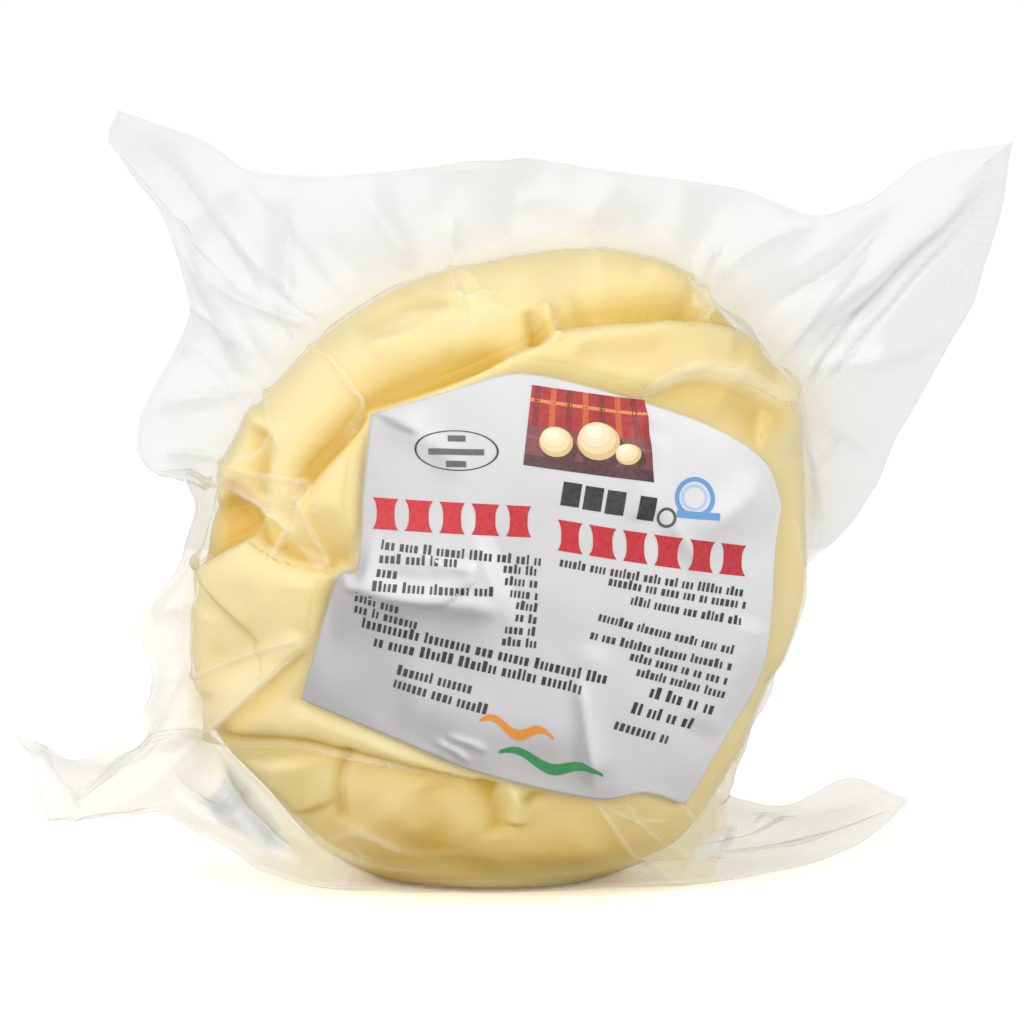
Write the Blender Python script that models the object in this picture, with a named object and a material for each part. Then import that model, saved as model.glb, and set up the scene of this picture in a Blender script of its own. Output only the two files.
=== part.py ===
"""A ball of wound string cheese, vacuum packed in a clear bag with a paper label on its front.

The bag is one closed solid out to its film: the ball's bulge with the ribbon's folds in relief, and the
flat fins of film that stand out round it. The label is a thin solid that lies on the bag's front.
Sizes are in millimetres: X runs to the right, Y to the back and Z up from the surface that the ball
stands on. The meshes are made in metres.
"""

import math
from dataclasses import dataclass

import bmesh
import bpy
import numpy as np

METRES = 0.001

# The ball: its middle, its depth to the front and back, and how square its section is
BALL_MIDDLE_X = 0.0
BALL_MIDDLE_Z = 45.5
BALL_FRONT_DEPTH = 27.0
BALL_BACK_DEPTH = 25.5
BALL_SQUARENESS = 2.2

# The ball's radius every 15 degrees, from the right side up and over, as seen from the front
BALL_RADII = (
    43.6, 45.0, 49.0, 48.2, 49.0, 46.8, 43.4, 42.2, 41.0, 40.3, 40.2, 41.0,
    42.0, 44.7, 46.6, 45.9, 48.0, 47.9, 47.8, 47.4, 48.0, 45.4, 42.8, 43.0,
)

# How far behind the ball's middle the two films meet, every 30 degrees in the same order
SEAM_DEPTHS = (5.0, 3.0, 1.0, 2.0, 3.0, 5.0, 5.0, -1.0, -9.0, -12.0, -7.0, 5.0)
SEAM_FADE = 22.0

# The flat spot that the ball stands on: its corners in (x, y), clockwise from above, the height under
# which the surface is pressed flat there, and how high it stays beyond
FOOT_CORNERS = ((-11.2, -10.9), (-11.2, 7.9), (11.2, 8.2), (11.2, -9.9))
FOOT_REACH = 1.3
FOOT_STEP = 0.3

# The film fins
FIN_THICKNESS = 0.7
WEDGE_REACH = 2.6
RINGS_BEFORE_SEAM = 3.2
FIN_STEPS = (0.05, 0.13, 0.25, 0.42, 0.62, 0.82, 1.0)
FRONT_RINGS = 13
BACK_RINGS = 9
RING_SPACING = 0.92
LOWEST_FIN = 0.5


@dataclass(frozen=True)
class FilmEdge:
    """A stretch of the bag's cut edge: columns of the mesh, and points of (root angle, x, y, z)."""

    columns: int
    points: tuple


# The bag's edge runs clockwise from the upper left corner. The root angle is where on the ball's
# outline the film of that point starts.
FILM_EDGES = (
    FilmEdge(20, (  # top edge, which sags between its two corners
        (131, -54.3, 14, 109.7), (124, -41.7, 12, 105.3), (117, -35.1, 10, 101.2), (109, -23.5, 6, 100.6),
        (98, -10.6, 3, 101.7), (86, 2.4, 2, 103.0), (72, 17.7, 3, 101.2), (57, 34.6, 1, 98.7),
        (50, 45.1, -1, 95.2), (47, 52.6, -2, 97.5), (44.5, 60.0, -4, 103.0), (41, 72.3, -7, 105.6),
    )),
    FilmEdge(15, (  # right edge, which runs in behind the ball
        (41, 72.3, -7, 105.6), (37, 70.9, -4, 94.1), (30, 66.5, 1, 80.4), (16, 57.5, 8, 61.8),
        (6, 51.4, 12, 50.6), (-2, 45.0, 15, 44.1), (-13, 42.5, 17, 35.4), (-26, 38.0, 15, 25.4),
        (-38, 34.0, 11, 16.5), (-48, 33.2, 6, 10.5),
    )),
    FilmEdge(6, (  # upper edge of the right tail
        (-48, 33.2, 6, 10.5), (-53.5, 42.1, 10, 9.1), (-56.5, 51.8, 14, 12.6), (-59, 60.2, 14, 9.2),
    )),
    FilmEdge(7, (  # lower edge of the right tail
        (-59, 60.2, 14, 9.2), (-61.5, 54.5, 10, 4.6), (-64, 44.4, 0, 2.2), (-67, 30.5, -8, 1.2),
        (-72, 22.7, -11.5, 1.4),
    )),
    FilmEdge(8, (  # short hem along the foot
        (-72, 22.7, -11.5, 1.4), (-90, 0, -15.5, 1.8), (-108, -16, -14, 1.4),
    )),
    FilmEdge(9, (  # lower edge of the left lobe
        (-108, -16, -14, 1.4), (-119, -24.6, -15, 1.7), (-128, -33.1, -14, 4.0), (-139, -46.5, -11, 11.0),
        (-145, -55.5, -12, 10.8), (-150, -63.1, -14, 11.1),
    )),
    FilmEdge(4, (  # lower left corner, folded over at its tip
        (-150, -63.1, -14, 11.1), (-153, -65.7, -8, 17.9), (-156, -68.4, -2, 21.2),
    )),
    FilmEdge(11, (  # left edge up to its waist
        (-156, -68.4, -2, 21.2), (-159, -61.4, 4, 16.9), (-162.5, -54.7, 9, 19.1), (-167, -49.4, 13, 25.4),
        (-173, -52.2, 15, 34.1), (-177, -50.3, 14, 38.6), (-182, -45.0, 12, 44.7), (-189, -42.8, 10, 53.8),
        (-194, -44.6, 8, 58.4),
    )),
    FilmEdge(12, (  # left edge above its waist
        (-194, -44.6, 8, 58.4), (-196.5, -50.3, 10, 58.5), (-202, -51.4, 12, 65.1), (-213, -44.9, 12, 78.1),
        (-218, -44.4, 11, 84.0), (-224, -49.0, 12, 96.9), (-227, -55.5, 15, 104.7), (-229, -54.3, 14, 109.7),
    )),
)

# How far the film bows out of a straight line halfway to its edge, by root angle: (x, y, z)
FILM_BOWS = (
    (131, 0, 2, 0), (109, 0, -2, 0), (86, 0, 2, 0), (72, 0, -1, 0), (57, 0, 1, 0), (41, 0, -3, 0),
    (30, 0, -3, 0), (6, 0, 0, 0), (-26, 1, 0, 0), (-48, 0, 0, 0), (-53.5, 0, 0, -1.6), (-56.5, 0, 0, -3.4),
    (-59, 0, 0, -2.4), (-64, 0, 0, -0.4), (-72, 0, 0, 0), (-119, 0, 0, 0), (-139, 0, 0, -1.5),
    (-150, 0, -2, -3.0), (-153, 0, -2, -5.7), (-156, 0, -2, -7.5), (-159, 0, 0, -4.7), (-162.5, 0, 0, -3.0),
    (-167, -1, 0, 0), (-194, 0, 0, 0), (-213, 0, 2, 0), (-229, 0, 2, 0),
)


@dataclass(frozen=True)
class Fold:
    """A ribbon's edge as seen from the front or back, in (x, z), with the ribbon on its right."""

    edge: tuple
    height: float
    width: float


# The folds on the front, each listed from left to right so that its ribbon lies below it
FRONT_FOLDS = (
    Fold(((-29, 50), (-25.5, 58.4), (-19.8, 64.8), (-16.6, 68.4), (-8.8, 71.9), (-1.3, 74.7), (6.9, 77.4),
          (15.9, 80.7), (28.1, 80.2), (35.0, 77.5), (38.5, 73.5)), 2.8, 20.0),
    Fold(((-40.7, 45.2), (-33.9, 51.0), (-28.1, 49.0), (-23.2, 47.1), (-17.0, 44.0)), 2.6, 20.0),
    Fold(((-38.0, 52.0), (-33.5, 63.0), (-24.0, 74.5), (-11.5, 82.5), (3.0, 86.0), (14.0, 87.5)), 1.8, 13.0),
    Fold(((-38.9, 22.0), (-30.0, 20.5), (-21.0, 20.6), (-2.0, 18.8), (13.5, 15.4), (24.0, 12.5)), 1.8, 12.0),
    Fold(((39.5, 70.0), (34.5, 73.4), (28.5, 74.6), (23.5, 74.2), (18.0, 71.5)), 1.0, 7.0),
    Fold(((-42.0, 19.0), (-33.5, 26.5), (-25.5, 33.0)), 1.3, 7.0),
)

# The folds on the back, which wind the other way
BACK_FOLDS = (
    Fold(((-37.0, 60.0), (-25.0, 70.0), (-5.0, 78.0), (16.0, 79.0), (33.0, 73.0)), 2.6, 16.0),
    Fold(((-40.0, 42.0), (-24.0, 54.0), (-2.0, 62.0), (20.0, 61.0), (40.0, 52.0)), 2.6, 30.0),
    Fold(((-36.0, 18.0), (-16.0, 27.0), (6.0, 30.0), (24.0, 27.0), (38.0, 20.0)), 2.4, 16.0),
)

# How a fold is shaped: it runs out over this share of its edge at either end and reaches its height in
# this share of its width, with a crease beside its edge
FOLD_END = 0.12
FOLD_RISE = 0.25
CREASE_DEPTH = 0.8
CREASE_WIDTH = 3.0

# The label presses the folds flat, up to this far outside it, and they grow back over the margin
PRESS_START = 3.0
PRESS_MARGIN = 4.0

# The label's four sides in (x, z), and its paper
LABEL_TOP = (
    (-16.8, 68.3), (-3.2, 72.5), (4.0, 74.0), (14.3, 71.9), (28.5, 67.1), (36.7, 61.8), (39.3, 55.3),
)
LABEL_RIGHT = ((39.3, 55.3), (38.5, 49.1), (37.9, 38.7), (36.4, 30.8), (32.0, 23.2), (26.3, 13.7))
LABEL_BOTTOM = ((-26.5, 29.4), (-14.4, 24.6), (-2.0, 19.5), (13.5, 15.5), (20.6, 16.0), (26.3, 13.7))
LABEL_LEFT = ((-16.8, 68.3), (-17.8, 58.1), (-18.5, 47.8), (-21.3, 46.4), (-24.7, 35.4), (-26.5, 29.4))
LABEL_COLUMNS = 20
LABEL_ROWS = 17
LABEL_GAP = 0.35
LABEL_THICKNESS = 0.35


def smooth_step(value):
    """Rises from 0 to 1 as the value does, level at both ends."""
    value = np.clip(value, 0.0, 1.0)
    return value * value * (3.0 - 2.0 * value)


def through_points(points, count):
    """Count + 1 points, evenly spaced by the curve's own parameter, on a smooth curve through the points."""
    points = np.array(points, float)
    padded = np.vstack([2 * points[0] - points[1], points, 2 * points[-1] - points[-2]])
    steps = np.linspace(0.0, len(points) - 1.0, count + 1)
    index = np.minimum(steps.astype(int), len(points) - 2)
    part = (steps - index)[:, None]
    before, start, end, after = (padded[index + shift] for shift in range(4))
    bend = 2 * before - 5 * start + 4 * end - after
    twist = 3 * start - before - 3 * end + after
    return start + 0.5 * part * (end - before + part * (bend + part * twist))


def round_the_ball(values, degrees):
    """Reads a closed curve through evenly spaced values, at angles in degrees."""
    values = np.array(values, float)
    step = np.mod(np.asarray(degrees, float), 360.0) / 360.0 * len(values)
    index = step.astype(int)
    part = step - index
    before, start, end, after = (values[(index + shift) % len(values)] for shift in (-1, 0, 1, 2))
    bend = 2 * before - 5 * start + 4 * end - after
    twist = 3 * start - before - 3 * end + after
    return start + 0.5 * part * (end - before + part * (bend + part * twist))


def edge_distance(fold, x, z):
    """The distance from a fold's edge, positive on its ribbon's side, and how far along the edge it is."""
    line = through_points(fold.edge, 6 * len(fold.edge))
    start = line[:-1]
    run = line[1:] - start
    offset_x = x[..., None] - start[:, 0]
    offset_z = z[..., None] - start[:, 1]
    along = (offset_x * run[:, 0] + offset_z * run[:, 1]) / (run ** 2).sum(axis=1)
    part = np.clip(along, 0.0, 1.0)
    away = np.hypot(offset_x - part * run[:, 0], offset_z - part * run[:, 1])
    side = np.sign(offset_x * run[:, 1] - offset_z * run[:, 0])
    nearest = away.argmin(axis=-1)[..., None]
    distance = np.take_along_axis(away * side, nearest, -1)[..., 0]
    place = (nearest[..., 0] + np.take_along_axis(part, nearest, -1)[..., 0]) / len(run)
    return distance, place


def fold_height(folds, x, z):
    """The relief of the ribbon's folds: each rises sharply at its edge and sinks slowly across it."""
    height = np.zeros_like(x)
    for fold in folds:
        distance, place = edge_distance(fold, x, z)
        ends = smooth_step(place / FOLD_END) * smooth_step((1.0 - place) / FOLD_END)
        rise = np.sqrt(1.0 - (1.0 - np.clip(distance / (FOLD_RISE * fold.width), 0.0, 1.0)) ** 2)
        sink = 1.0 - smooth_step(distance / fold.width)
        crease = np.exp(-(distance / CREASE_WIDTH) ** 2) * (distance < 0)
        height += ends * (fold.height * rise * sink - CREASE_DEPTH * crease)
    return height


def label_outline():
    """The label's outline in (x, z), clockwise from its upper left corner."""
    sides = (LABEL_TOP, LABEL_RIGHT, LABEL_BOTTOM[::-1], LABEL_LEFT[::-1])
    return np.vstack([through_points(side, 5 * len(side))[:-1] for side in sides])


def inside_label(x, z):
    """How far inside the label's outline a point is, and less than 0 outside."""
    outline = label_outline()
    run = np.roll(outline, -1, axis=0) - outline
    offset_x = x[..., None] - outline[:, 0]
    offset_z = z[..., None] - outline[:, 1]
    part = np.clip((offset_x * run[:, 0] + offset_z * run[:, 1]) / (run ** 2).sum(axis=1), 0.0, 1.0)
    away = np.hypot(offset_x - part * run[:, 0], offset_z - part * run[:, 1]).min(axis=-1)
    above = outline[:, 1] > z[..., None]
    crosses = above != np.roll(above, -1, axis=-1)
    level = np.where(run[:, 1] == 0, 1.0, run[:, 1])
    at = outline[:, 0] + (z[..., None] - outline[:, 1]) / level * run[:, 0]
    inside = (crosses & (x[..., None] < at)).sum(axis=-1) % 2 == 1
    return np.where(inside, away, -away)


def ball_surface(x, z, y, depth, folds, fade):
    """Moves points of the plain ball out by the folds' relief, along the ball's own normal."""
    degrees = np.degrees(np.arctan2(z - BALL_MIDDLE_Z, x - BALL_MIDDLE_X))
    radius = round_the_ball(BALL_RADII, degrees)
    out = np.hypot(x - BALL_MIDDLE_X, z - BALL_MIDDLE_Z)
    power = BALL_SQUARENESS - 1.0
    slope_out = (out / radius) ** power / radius
    slope_y = np.sign(y) * (np.abs(y) / depth) ** power / depth
    angle = np.radians(degrees)
    normal = np.stack([slope_out * np.cos(angle), slope_y, slope_out * np.sin(angle)], axis=-1)
    normal /= np.linalg.norm(normal, axis=-1, keepdims=True)
    relief = fold_height(folds, x, z) * fade
    if folds is FRONT_FOLDS:
        relief = relief * smooth_step((-inside_label(x, z) - PRESS_START) / PRESS_MARGIN)
    return np.stack([x, y, z], axis=-1) + normal * relief[..., None], normal


def front_of_ball(x, z):
    """The bag's front over points (x, z) well inside the ball's outline, and its normals."""
    degrees = np.degrees(np.arctan2(z - BALL_MIDDLE_Z, x - BALL_MIDDLE_X))
    share = np.hypot(x - BALL_MIDDLE_X, z - BALL_MIDDLE_Z) / round_the_ball(BALL_RADII, degrees)
    y = -BALL_FRONT_DEPTH * (1.0 - share ** BALL_SQUARENESS) ** (1.0 / BALL_SQUARENESS)
    return ball_surface(x, z, y, BALL_FRONT_DEPTH, FRONT_FOLDS, np.ones_like(x))


def ball_ring(degrees, turn, seam_turn, folds):
    """A ring of the ball's surface. The turn runs from 0 at the front's middle to 180 at the back's."""
    power = 2.0 / BALL_SQUARENESS
    cosine = np.cos(np.radians(turn))
    depth = np.where(cosine > 0, BALL_FRONT_DEPTH, BALL_BACK_DEPTH)
    y = -depth * np.sign(cosine) * np.abs(cosine) ** power
    out = round_the_ball(BALL_RADII, degrees) * np.sin(np.radians(turn)) ** power
    x = BALL_MIDDLE_X + out * np.cos(np.radians(degrees))
    z = BALL_MIDDLE_Z + out * np.sin(np.radians(degrees))
    fade = smooth_step(np.abs(turn - seam_turn) / SEAM_FADE)
    return ball_surface(x, z, y, depth, folds, fade)[0]


def edge_columns():
    """The bag's edge, one row for each column of the mesh: root angle, x, y and z."""
    return np.vstack([through_points(edge.points, edge.columns)[:-1] for edge in FILM_EDGES])


def bow_at(root):
    """How far the film bows out halfway to its edge, for each root angle."""
    bows = np.array(sorted(FILM_BOWS), float)
    return np.stack([np.interp(root, bows[:, 0], bows[:, axis]) for axis in (1, 2, 3)], axis=-1)


def seam_turns(root):
    """The turn at which the two films meet, for each root angle."""
    seam = round_the_ball(SEAM_DEPTHS, root)
    depth = np.where(seam > 0, BALL_BACK_DEPTH, BALL_FRONT_DEPTH)
    cosine = -np.sign(seam) * (np.abs(seam) / depth) ** (BALL_SQUARENESS / 2.0)
    return np.degrees(np.arccos(cosine))


def bag_rings():
    """The bag's rings of points from the front's middle, out to the cut edge, and to the back's middle."""
    edge = edge_columns()
    root = edge[:, 0]
    seam_turn = seam_turns(root)
    seam = ball_ring(root, seam_turn, seam_turn, FRONT_FOLDS)
    radius = round_the_ball(BALL_RADII, root)
    lead = np.degrees(RINGS_BEFORE_SEAM / (0.5 * (BALL_FRONT_DEPTH + radius)))
    front = [
        ball_ring(root, (seam_turn - lead) * share, seam_turn, FRONT_FOLDS)
        for share in (np.arange(1, FRONT_RINGS + 1) / FRONT_RINGS) ** RING_SPACING
    ]
    back = [
        ball_ring(root, 180.0 - (180.0 - seam_turn - lead) * share, seam_turn, BACK_FOLDS)
        for share in (np.arange(BACK_RINGS, 0, -1) / BACK_RINGS) ** RING_SPACING
    ]
    bow = bow_at(root)
    sheets = [seam + (edge[:, 1:] - seam) * step + 4 * step * (1 - step) * bow for step in FIN_STEPS]
    for sheet in sheets:
        sheet[:, 2] = np.maximum(sheet[:, 2], LOWEST_FIN)
    opening = front[-1] - back[0]
    half_gap = 0.5 * np.linalg.norm(opening, axis=1)
    front_fin = []
    back_fin = []
    inner = seam
    towards = opening
    for sheet in sheets:
        along = np.roll(sheet, -1, axis=0) - np.roll(sheet, 1, axis=0)
        normal = np.cross(sheet - inner, along)
        normal /= np.linalg.norm(normal, axis=1, keepdims=True)
        normal *= np.sign((normal * towards).sum(axis=1))[:, None]
        inner = sheet
        towards = normal
        away = np.linalg.norm(sheet - seam, axis=1)
        half = 0.5 * FIN_THICKNESS + (half_gap - 0.5 * FIN_THICKNESS) * np.exp(-away / WEDGE_REACH)
        front_fin.append(sheet + normal * half[:, None])
        back_fin.append(sheet - normal * half[:, None])
    return front + front_fin + back_fin[::-1] + back


def pale_material(name, colour, roughness):
    """A plain non-metal of an RGB colour."""
    material = bpy.data.materials.new(name)
    material.use_nodes = True
    shader = material.node_tree.nodes["Principled BSDF"]
    shader.inputs["Base Color"].default_value = (*colour, 1.0)
    shader.inputs["Roughness"].default_value = roughness
    shader.inputs["Metallic"].default_value = 0.0
    return material


def add_solid(name, points, faces, material, shift):
    """Makes a named object of a closed mesh, moved by the shift, with its faces turned out."""
    mesh = bpy.data.meshes.new(name)
    mesh.from_pydata([tuple(point) for point in (points + shift) * METRES], [], faces)
    work = bmesh.new()
    work.from_mesh(mesh)
    bmesh.ops.recalc_face_normals(work, faces=work.faces)
    work.to_mesh(mesh)
    work.free()
    mesh.shade_smooth()
    mesh.materials.append(material)
    solid = bpy.data.objects.new(name, mesh)
    bpy.context.scene.collection.objects.link(solid)
    return solid


def press_foot(points):
    """Presses the ball's foot to a flat four-cornered spot, with the surface round it a little higher."""
    corners = np.array(FOOT_CORNERS)
    run = np.roll(corners, -1, axis=0) - corners
    offset = points[:, None, :2] - corners
    beyond = (run[:, 0] * offset[..., 1] - run[:, 1] * offset[..., 0]) / np.linalg.norm(run, axis=1)
    inside = (beyond.max(axis=1) <= 0.0) & (points[:, 2] < FOOT_REACH)
    points[:, 2] = np.where(inside, 0.0, np.maximum(points[:, 2], FOOT_STEP))
    for corner in corners:
        away = np.linalg.norm(points[:, :2] - corner, axis=1) + points[:, 2]
        points[away.argmin()] = (*corner, 0.0)
    return points


def bag_mesh():
    """The bag's points and faces, with its foot pressed flat where the ball stands."""
    rings = bag_rings()
    columns = len(rings[0])
    middle = np.array([[BALL_MIDDLE_X, 0.0, BALL_MIDDLE_Z]])
    poles = []
    for sign, depth, folds in ((-1.0, BALL_FRONT_DEPTH, FRONT_FOLDS), (1.0, BALL_BACK_DEPTH, BACK_FOLDS)):
        pole = middle + [[0.0, sign * depth, 0.0]]
        poles.append(ball_surface(pole[:, 0], pole[:, 2], pole[:, 1], depth, folds, np.ones(1))[0])
    points = press_foot(np.vstack([poles[0], *rings, poles[1]]))
    last = len(points) - 1
    faces = []
    for column in range(columns):
        after = (column + 1) % columns
        faces.append((0, 1 + column, 1 + after))
        for ring in range(len(rings) - 1):
            here = 1 + ring * columns
            there = here + columns
            faces.append((here + column, there + column, there + after, here + after))
        faces.append((last, last - columns + after, last - columns + column))
    return points, faces


def label_mesh():
    """The label's points and faces: a sheet of paper blended between its four sides."""
    top = through_points(LABEL_TOP, LABEL_COLUMNS)
    bottom = through_points(LABEL_BOTTOM, LABEL_COLUMNS)
    left = through_points(LABEL_LEFT, LABEL_ROWS)
    right = through_points(LABEL_RIGHT, LABEL_ROWS)
    across = np.linspace(0.0, 1.0, LABEL_COLUMNS + 1)[None, :, None]
    down = np.linspace(0.0, 1.0, LABEL_ROWS + 1)[:, None, None]
    sheet = (1 - down) * top[None] + down * bottom[None]
    sheet += (1 - across) * left[:, None] + across * right[:, None]
    sheet -= (1 - down) * ((1 - across) * top[0] + across * top[-1])
    sheet -= down * ((1 - across) * bottom[0] + across * bottom[-1])
    surface, normal = front_of_ball(sheet[..., 0], sheet[..., 1])
    under = (surface + normal * LABEL_GAP).reshape(-1, 3)
    over = (surface + normal * (LABEL_GAP + LABEL_THICKNESS)).reshape(-1, 3)
    width = LABEL_COLUMNS + 1
    count = len(under)
    faces = []
    for row in range(LABEL_ROWS):
        for column in range(LABEL_COLUMNS):
            corner = row * width + column
            quad = (corner, corner + 1, corner + width + 1, corner + width)
            faces.append(quad)
            faces.append(tuple(count + point for point in reversed(quad)))
    border = list(range(width))
    border += [row * width + LABEL_COLUMNS for row in range(1, LABEL_ROWS + 1)]
    border += [LABEL_ROWS * width + column for column in range(LABEL_COLUMNS - 1, -1, -1)]
    border += [row * width for row in range(LABEL_ROWS - 1, 0, -1)]
    for point, after in zip(border, border[1:] + border[:1]):
        faces.append((point, after, count + after, count + point))
    return np.vstack([under, over]), faces


def main():
    """Clears the scene and builds the bag and its label, centred over the middle of their footprint."""
    for thing in list(bpy.data.objects):
        bpy.data.objects.remove(thing, do_unlink=True)
    bag_points, bag_faces = bag_mesh()
    label_points, label_faces = label_mesh()
    every = np.vstack([bag_points, label_points])
    middle = 0.5 * (every.min(axis=0) + every.max(axis=0))
    shift = np.array([-middle[0], -middle[1], -every[:, 2].min()])
    cheese = pale_material("cheese_in_clear_film", (0.87, 0.70, 0.38), 0.25)
    paper = pale_material("label_paper", (0.80, 0.78, 0.80), 0.45)
    add_solid("bag", bag_points, bag_faces, cheese, shift)
    add_solid("label", label_points, label_faces, paper, shift)


main()
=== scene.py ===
"""The looks of a vacuum-packed ball of wound string cheese with a paper label.

Lengths in the classes below are millimetres in the pack's own layout: X to the right, Y to the back and Z
up, with the ball's middle at X = 0. Placement moves them into the frame, which is in metres.
"""

import logging
import math
from dataclasses import dataclass, field
from enum import Enum

import bpy
import numpy as np
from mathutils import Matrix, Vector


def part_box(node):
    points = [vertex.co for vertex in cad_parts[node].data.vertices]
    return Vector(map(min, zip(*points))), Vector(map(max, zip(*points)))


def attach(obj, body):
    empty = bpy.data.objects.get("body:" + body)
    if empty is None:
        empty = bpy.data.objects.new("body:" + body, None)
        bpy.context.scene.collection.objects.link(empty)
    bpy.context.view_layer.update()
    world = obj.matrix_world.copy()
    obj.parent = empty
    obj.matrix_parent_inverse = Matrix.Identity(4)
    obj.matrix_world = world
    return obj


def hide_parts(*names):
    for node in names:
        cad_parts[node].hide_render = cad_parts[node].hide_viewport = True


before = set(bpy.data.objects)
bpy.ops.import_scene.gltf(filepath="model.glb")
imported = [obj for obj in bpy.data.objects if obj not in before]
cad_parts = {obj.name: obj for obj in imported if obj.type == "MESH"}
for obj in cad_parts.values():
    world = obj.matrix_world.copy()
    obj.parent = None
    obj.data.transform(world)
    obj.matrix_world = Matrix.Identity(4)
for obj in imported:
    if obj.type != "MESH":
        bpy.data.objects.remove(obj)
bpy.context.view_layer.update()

LOG = logging.getLogger("string_cheese_pack")
METRES = 0.001
# The relief stands a little proud of the solids, so all depths are drawn in by one share.
DEPTH_SHARE = np.array((1.0, 0.962, 1.0))
# Rings of points lie a little closer together towards the seam than at the poles.
RING_SPACING = 0.85
NOT_ZERO = 1e-9
WHITE = (1.0, 1.0, 1.0, 1.0)
Span = tuple[float, float]
Line = tuple[tuple[float, float], ...]


class Side(Enum):
    """The two sides of the pack."""

    FRONT = -1.0
    BACK = 1.0


def linear(colour: str) -> tuple[float, float, float, float]:
    """Turns an sRGB hex colour to linear light.

    Args:
        colour: six hex digits after a hash.

    Returns:
        Red, green, blue and an alpha of 1.
    """
    parts = [int(colour[place:place + 2], 16) / 255.0 for place in (1, 3, 5)]
    lit = [part / 12.92 if part <= 0.04045 else ((part + 0.055) / 1.055) ** 2.4 for part in parts]
    return (lit[0], lit[1], lit[2], 1.0)


def smooth_step(value: np.ndarray) -> np.ndarray:
    """Rises from 0 to 1 as the value does, level at both ends.

    Args:
        value: any numbers; what lies outside 0 to 1 is clipped.

    Returns:
        The eased numbers.
    """
    value = np.clip(value, 0.0, 1.0)
    return value * value * (3.0 - 2.0 * value)


def eased(value: np.ndarray, start: float, end: float) -> np.ndarray:
    """Rises from 0 at start to 1 at end, level at both, or falls where the end is the lower number."""
    return smooth_step((value - start) / (end - start))


def run_out(place: np.ndarray, share: float) -> np.ndarray:
    """Gives 1 along a line, for places from 0 to 1 on it, and eases to 0 over that share at both ends."""
    return smooth_step(place / share) * smooth_step((1.0 - place) / share)


def unit_cross(first: np.ndarray, second: np.ndarray) -> np.ndarray:
    """Gives the directions at right angles to both of two sets of directions."""
    normal = np.cross(first, second)
    return normal / (np.linalg.norm(normal, axis=-1, keepdims=True) + NOT_ZERO)


def between(values: tuple, part: np.ndarray) -> np.ndarray:
    """Reads a smooth curve between the middle two of four values.

    Args:
        values: the value before, the two that the curve runs between, and the value after.
        part: how far along it is, 0 to 1.

    Returns:
        The curve's value there.
    """
    before, start, end, after = values
    bend = 2 * before - 5 * start + 4 * end - after
    twist = 3 * start - before - 3 * end + after
    return start + 0.5 * part * (end - before + part * (bend + part * twist))


def through_points(points: tuple, count: int) -> np.ndarray:
    """Samples a smooth curve through points.

    Args:
        points: the points that the curve passes through.
        count: how many equal steps of the curve's own parameter to take.

    Returns:
        Count + 1 points.
    """
    given = np.array(points, float)
    padded = np.vstack([2 * given[0] - given[1], given, 2 * given[-1] - given[-2]])
    steps = np.linspace(0.0, len(given) - 1.0, count + 1)
    index = np.minimum(steps.astype(int), len(given) - 2)
    part = (steps - index)[:, None]
    return between(tuple(padded[index + shift] for shift in range(4)), part)


def round_the_ball(values: tuple[float, ...], degrees: np.ndarray) -> np.ndarray:
    """Reads a closed curve through evenly spaced values.

    Args:
        values: the curve's values, evenly spaced over a full turn.
        degrees: the angles to read it at.

    Returns:
        The curve's value at each angle.
    """
    known = np.array(values, float)
    step = np.mod(np.asarray(degrees, float), 360.0) / 360.0 * len(known)
    index = step.astype(int)
    return between(tuple(known[(index + shift) % len(known)] for shift in (-1, 0, 1, 2)), step - index)


def from_line(line: Line, x: np.ndarray, z: np.ndarray, smooth: int = 6) -> tuple[np.ndarray, np.ndarray]:
    """Measures points from a curved line.

    Args:
        line: the points that the line passes through.
        x: the points' places across.
        z: the points' heights.
        smooth: how many straight pieces stand for each stretch of the line.

    Returns:
        The distance, positive on the right of the line, and how far along it the nearest place is, 0 to 1.
    """
    curve = through_points(line, smooth * (len(line) - 1))
    start = curve[:-1]
    run = curve[1:] - start
    offset_x = x[..., None] - start[:, 0]
    offset_z = z[..., None] - start[:, 1]
    part = np.clip((offset_x * run[:, 0] + offset_z * run[:, 1]) / (run ** 2).sum(axis=1), 0.0, 1.0)
    away = np.hypot(offset_x - part * run[:, 0], offset_z - part * run[:, 1])
    side = np.sign(offset_x * run[:, 1] - offset_z * run[:, 0])
    nearest = away.argmin(axis=-1)[..., None]
    distance = np.take_along_axis(away * side, nearest, -1)[..., 0]
    place = (nearest[..., 0] + np.take_along_axis(part, nearest, -1)[..., 0]) / len(run)
    return distance, place


def near_line(line: Line, x: np.ndarray, z: np.ndarray, reach: float) -> np.ndarray:
    """Marks the points that may lie within reach of a line."""
    corners = np.array(line)
    low, high = corners.min(axis=0) - reach, corners.max(axis=0) + reach
    return (x > low[0]) & (x < high[0]) & (z > low[1]) & (z < high[1])


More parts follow.
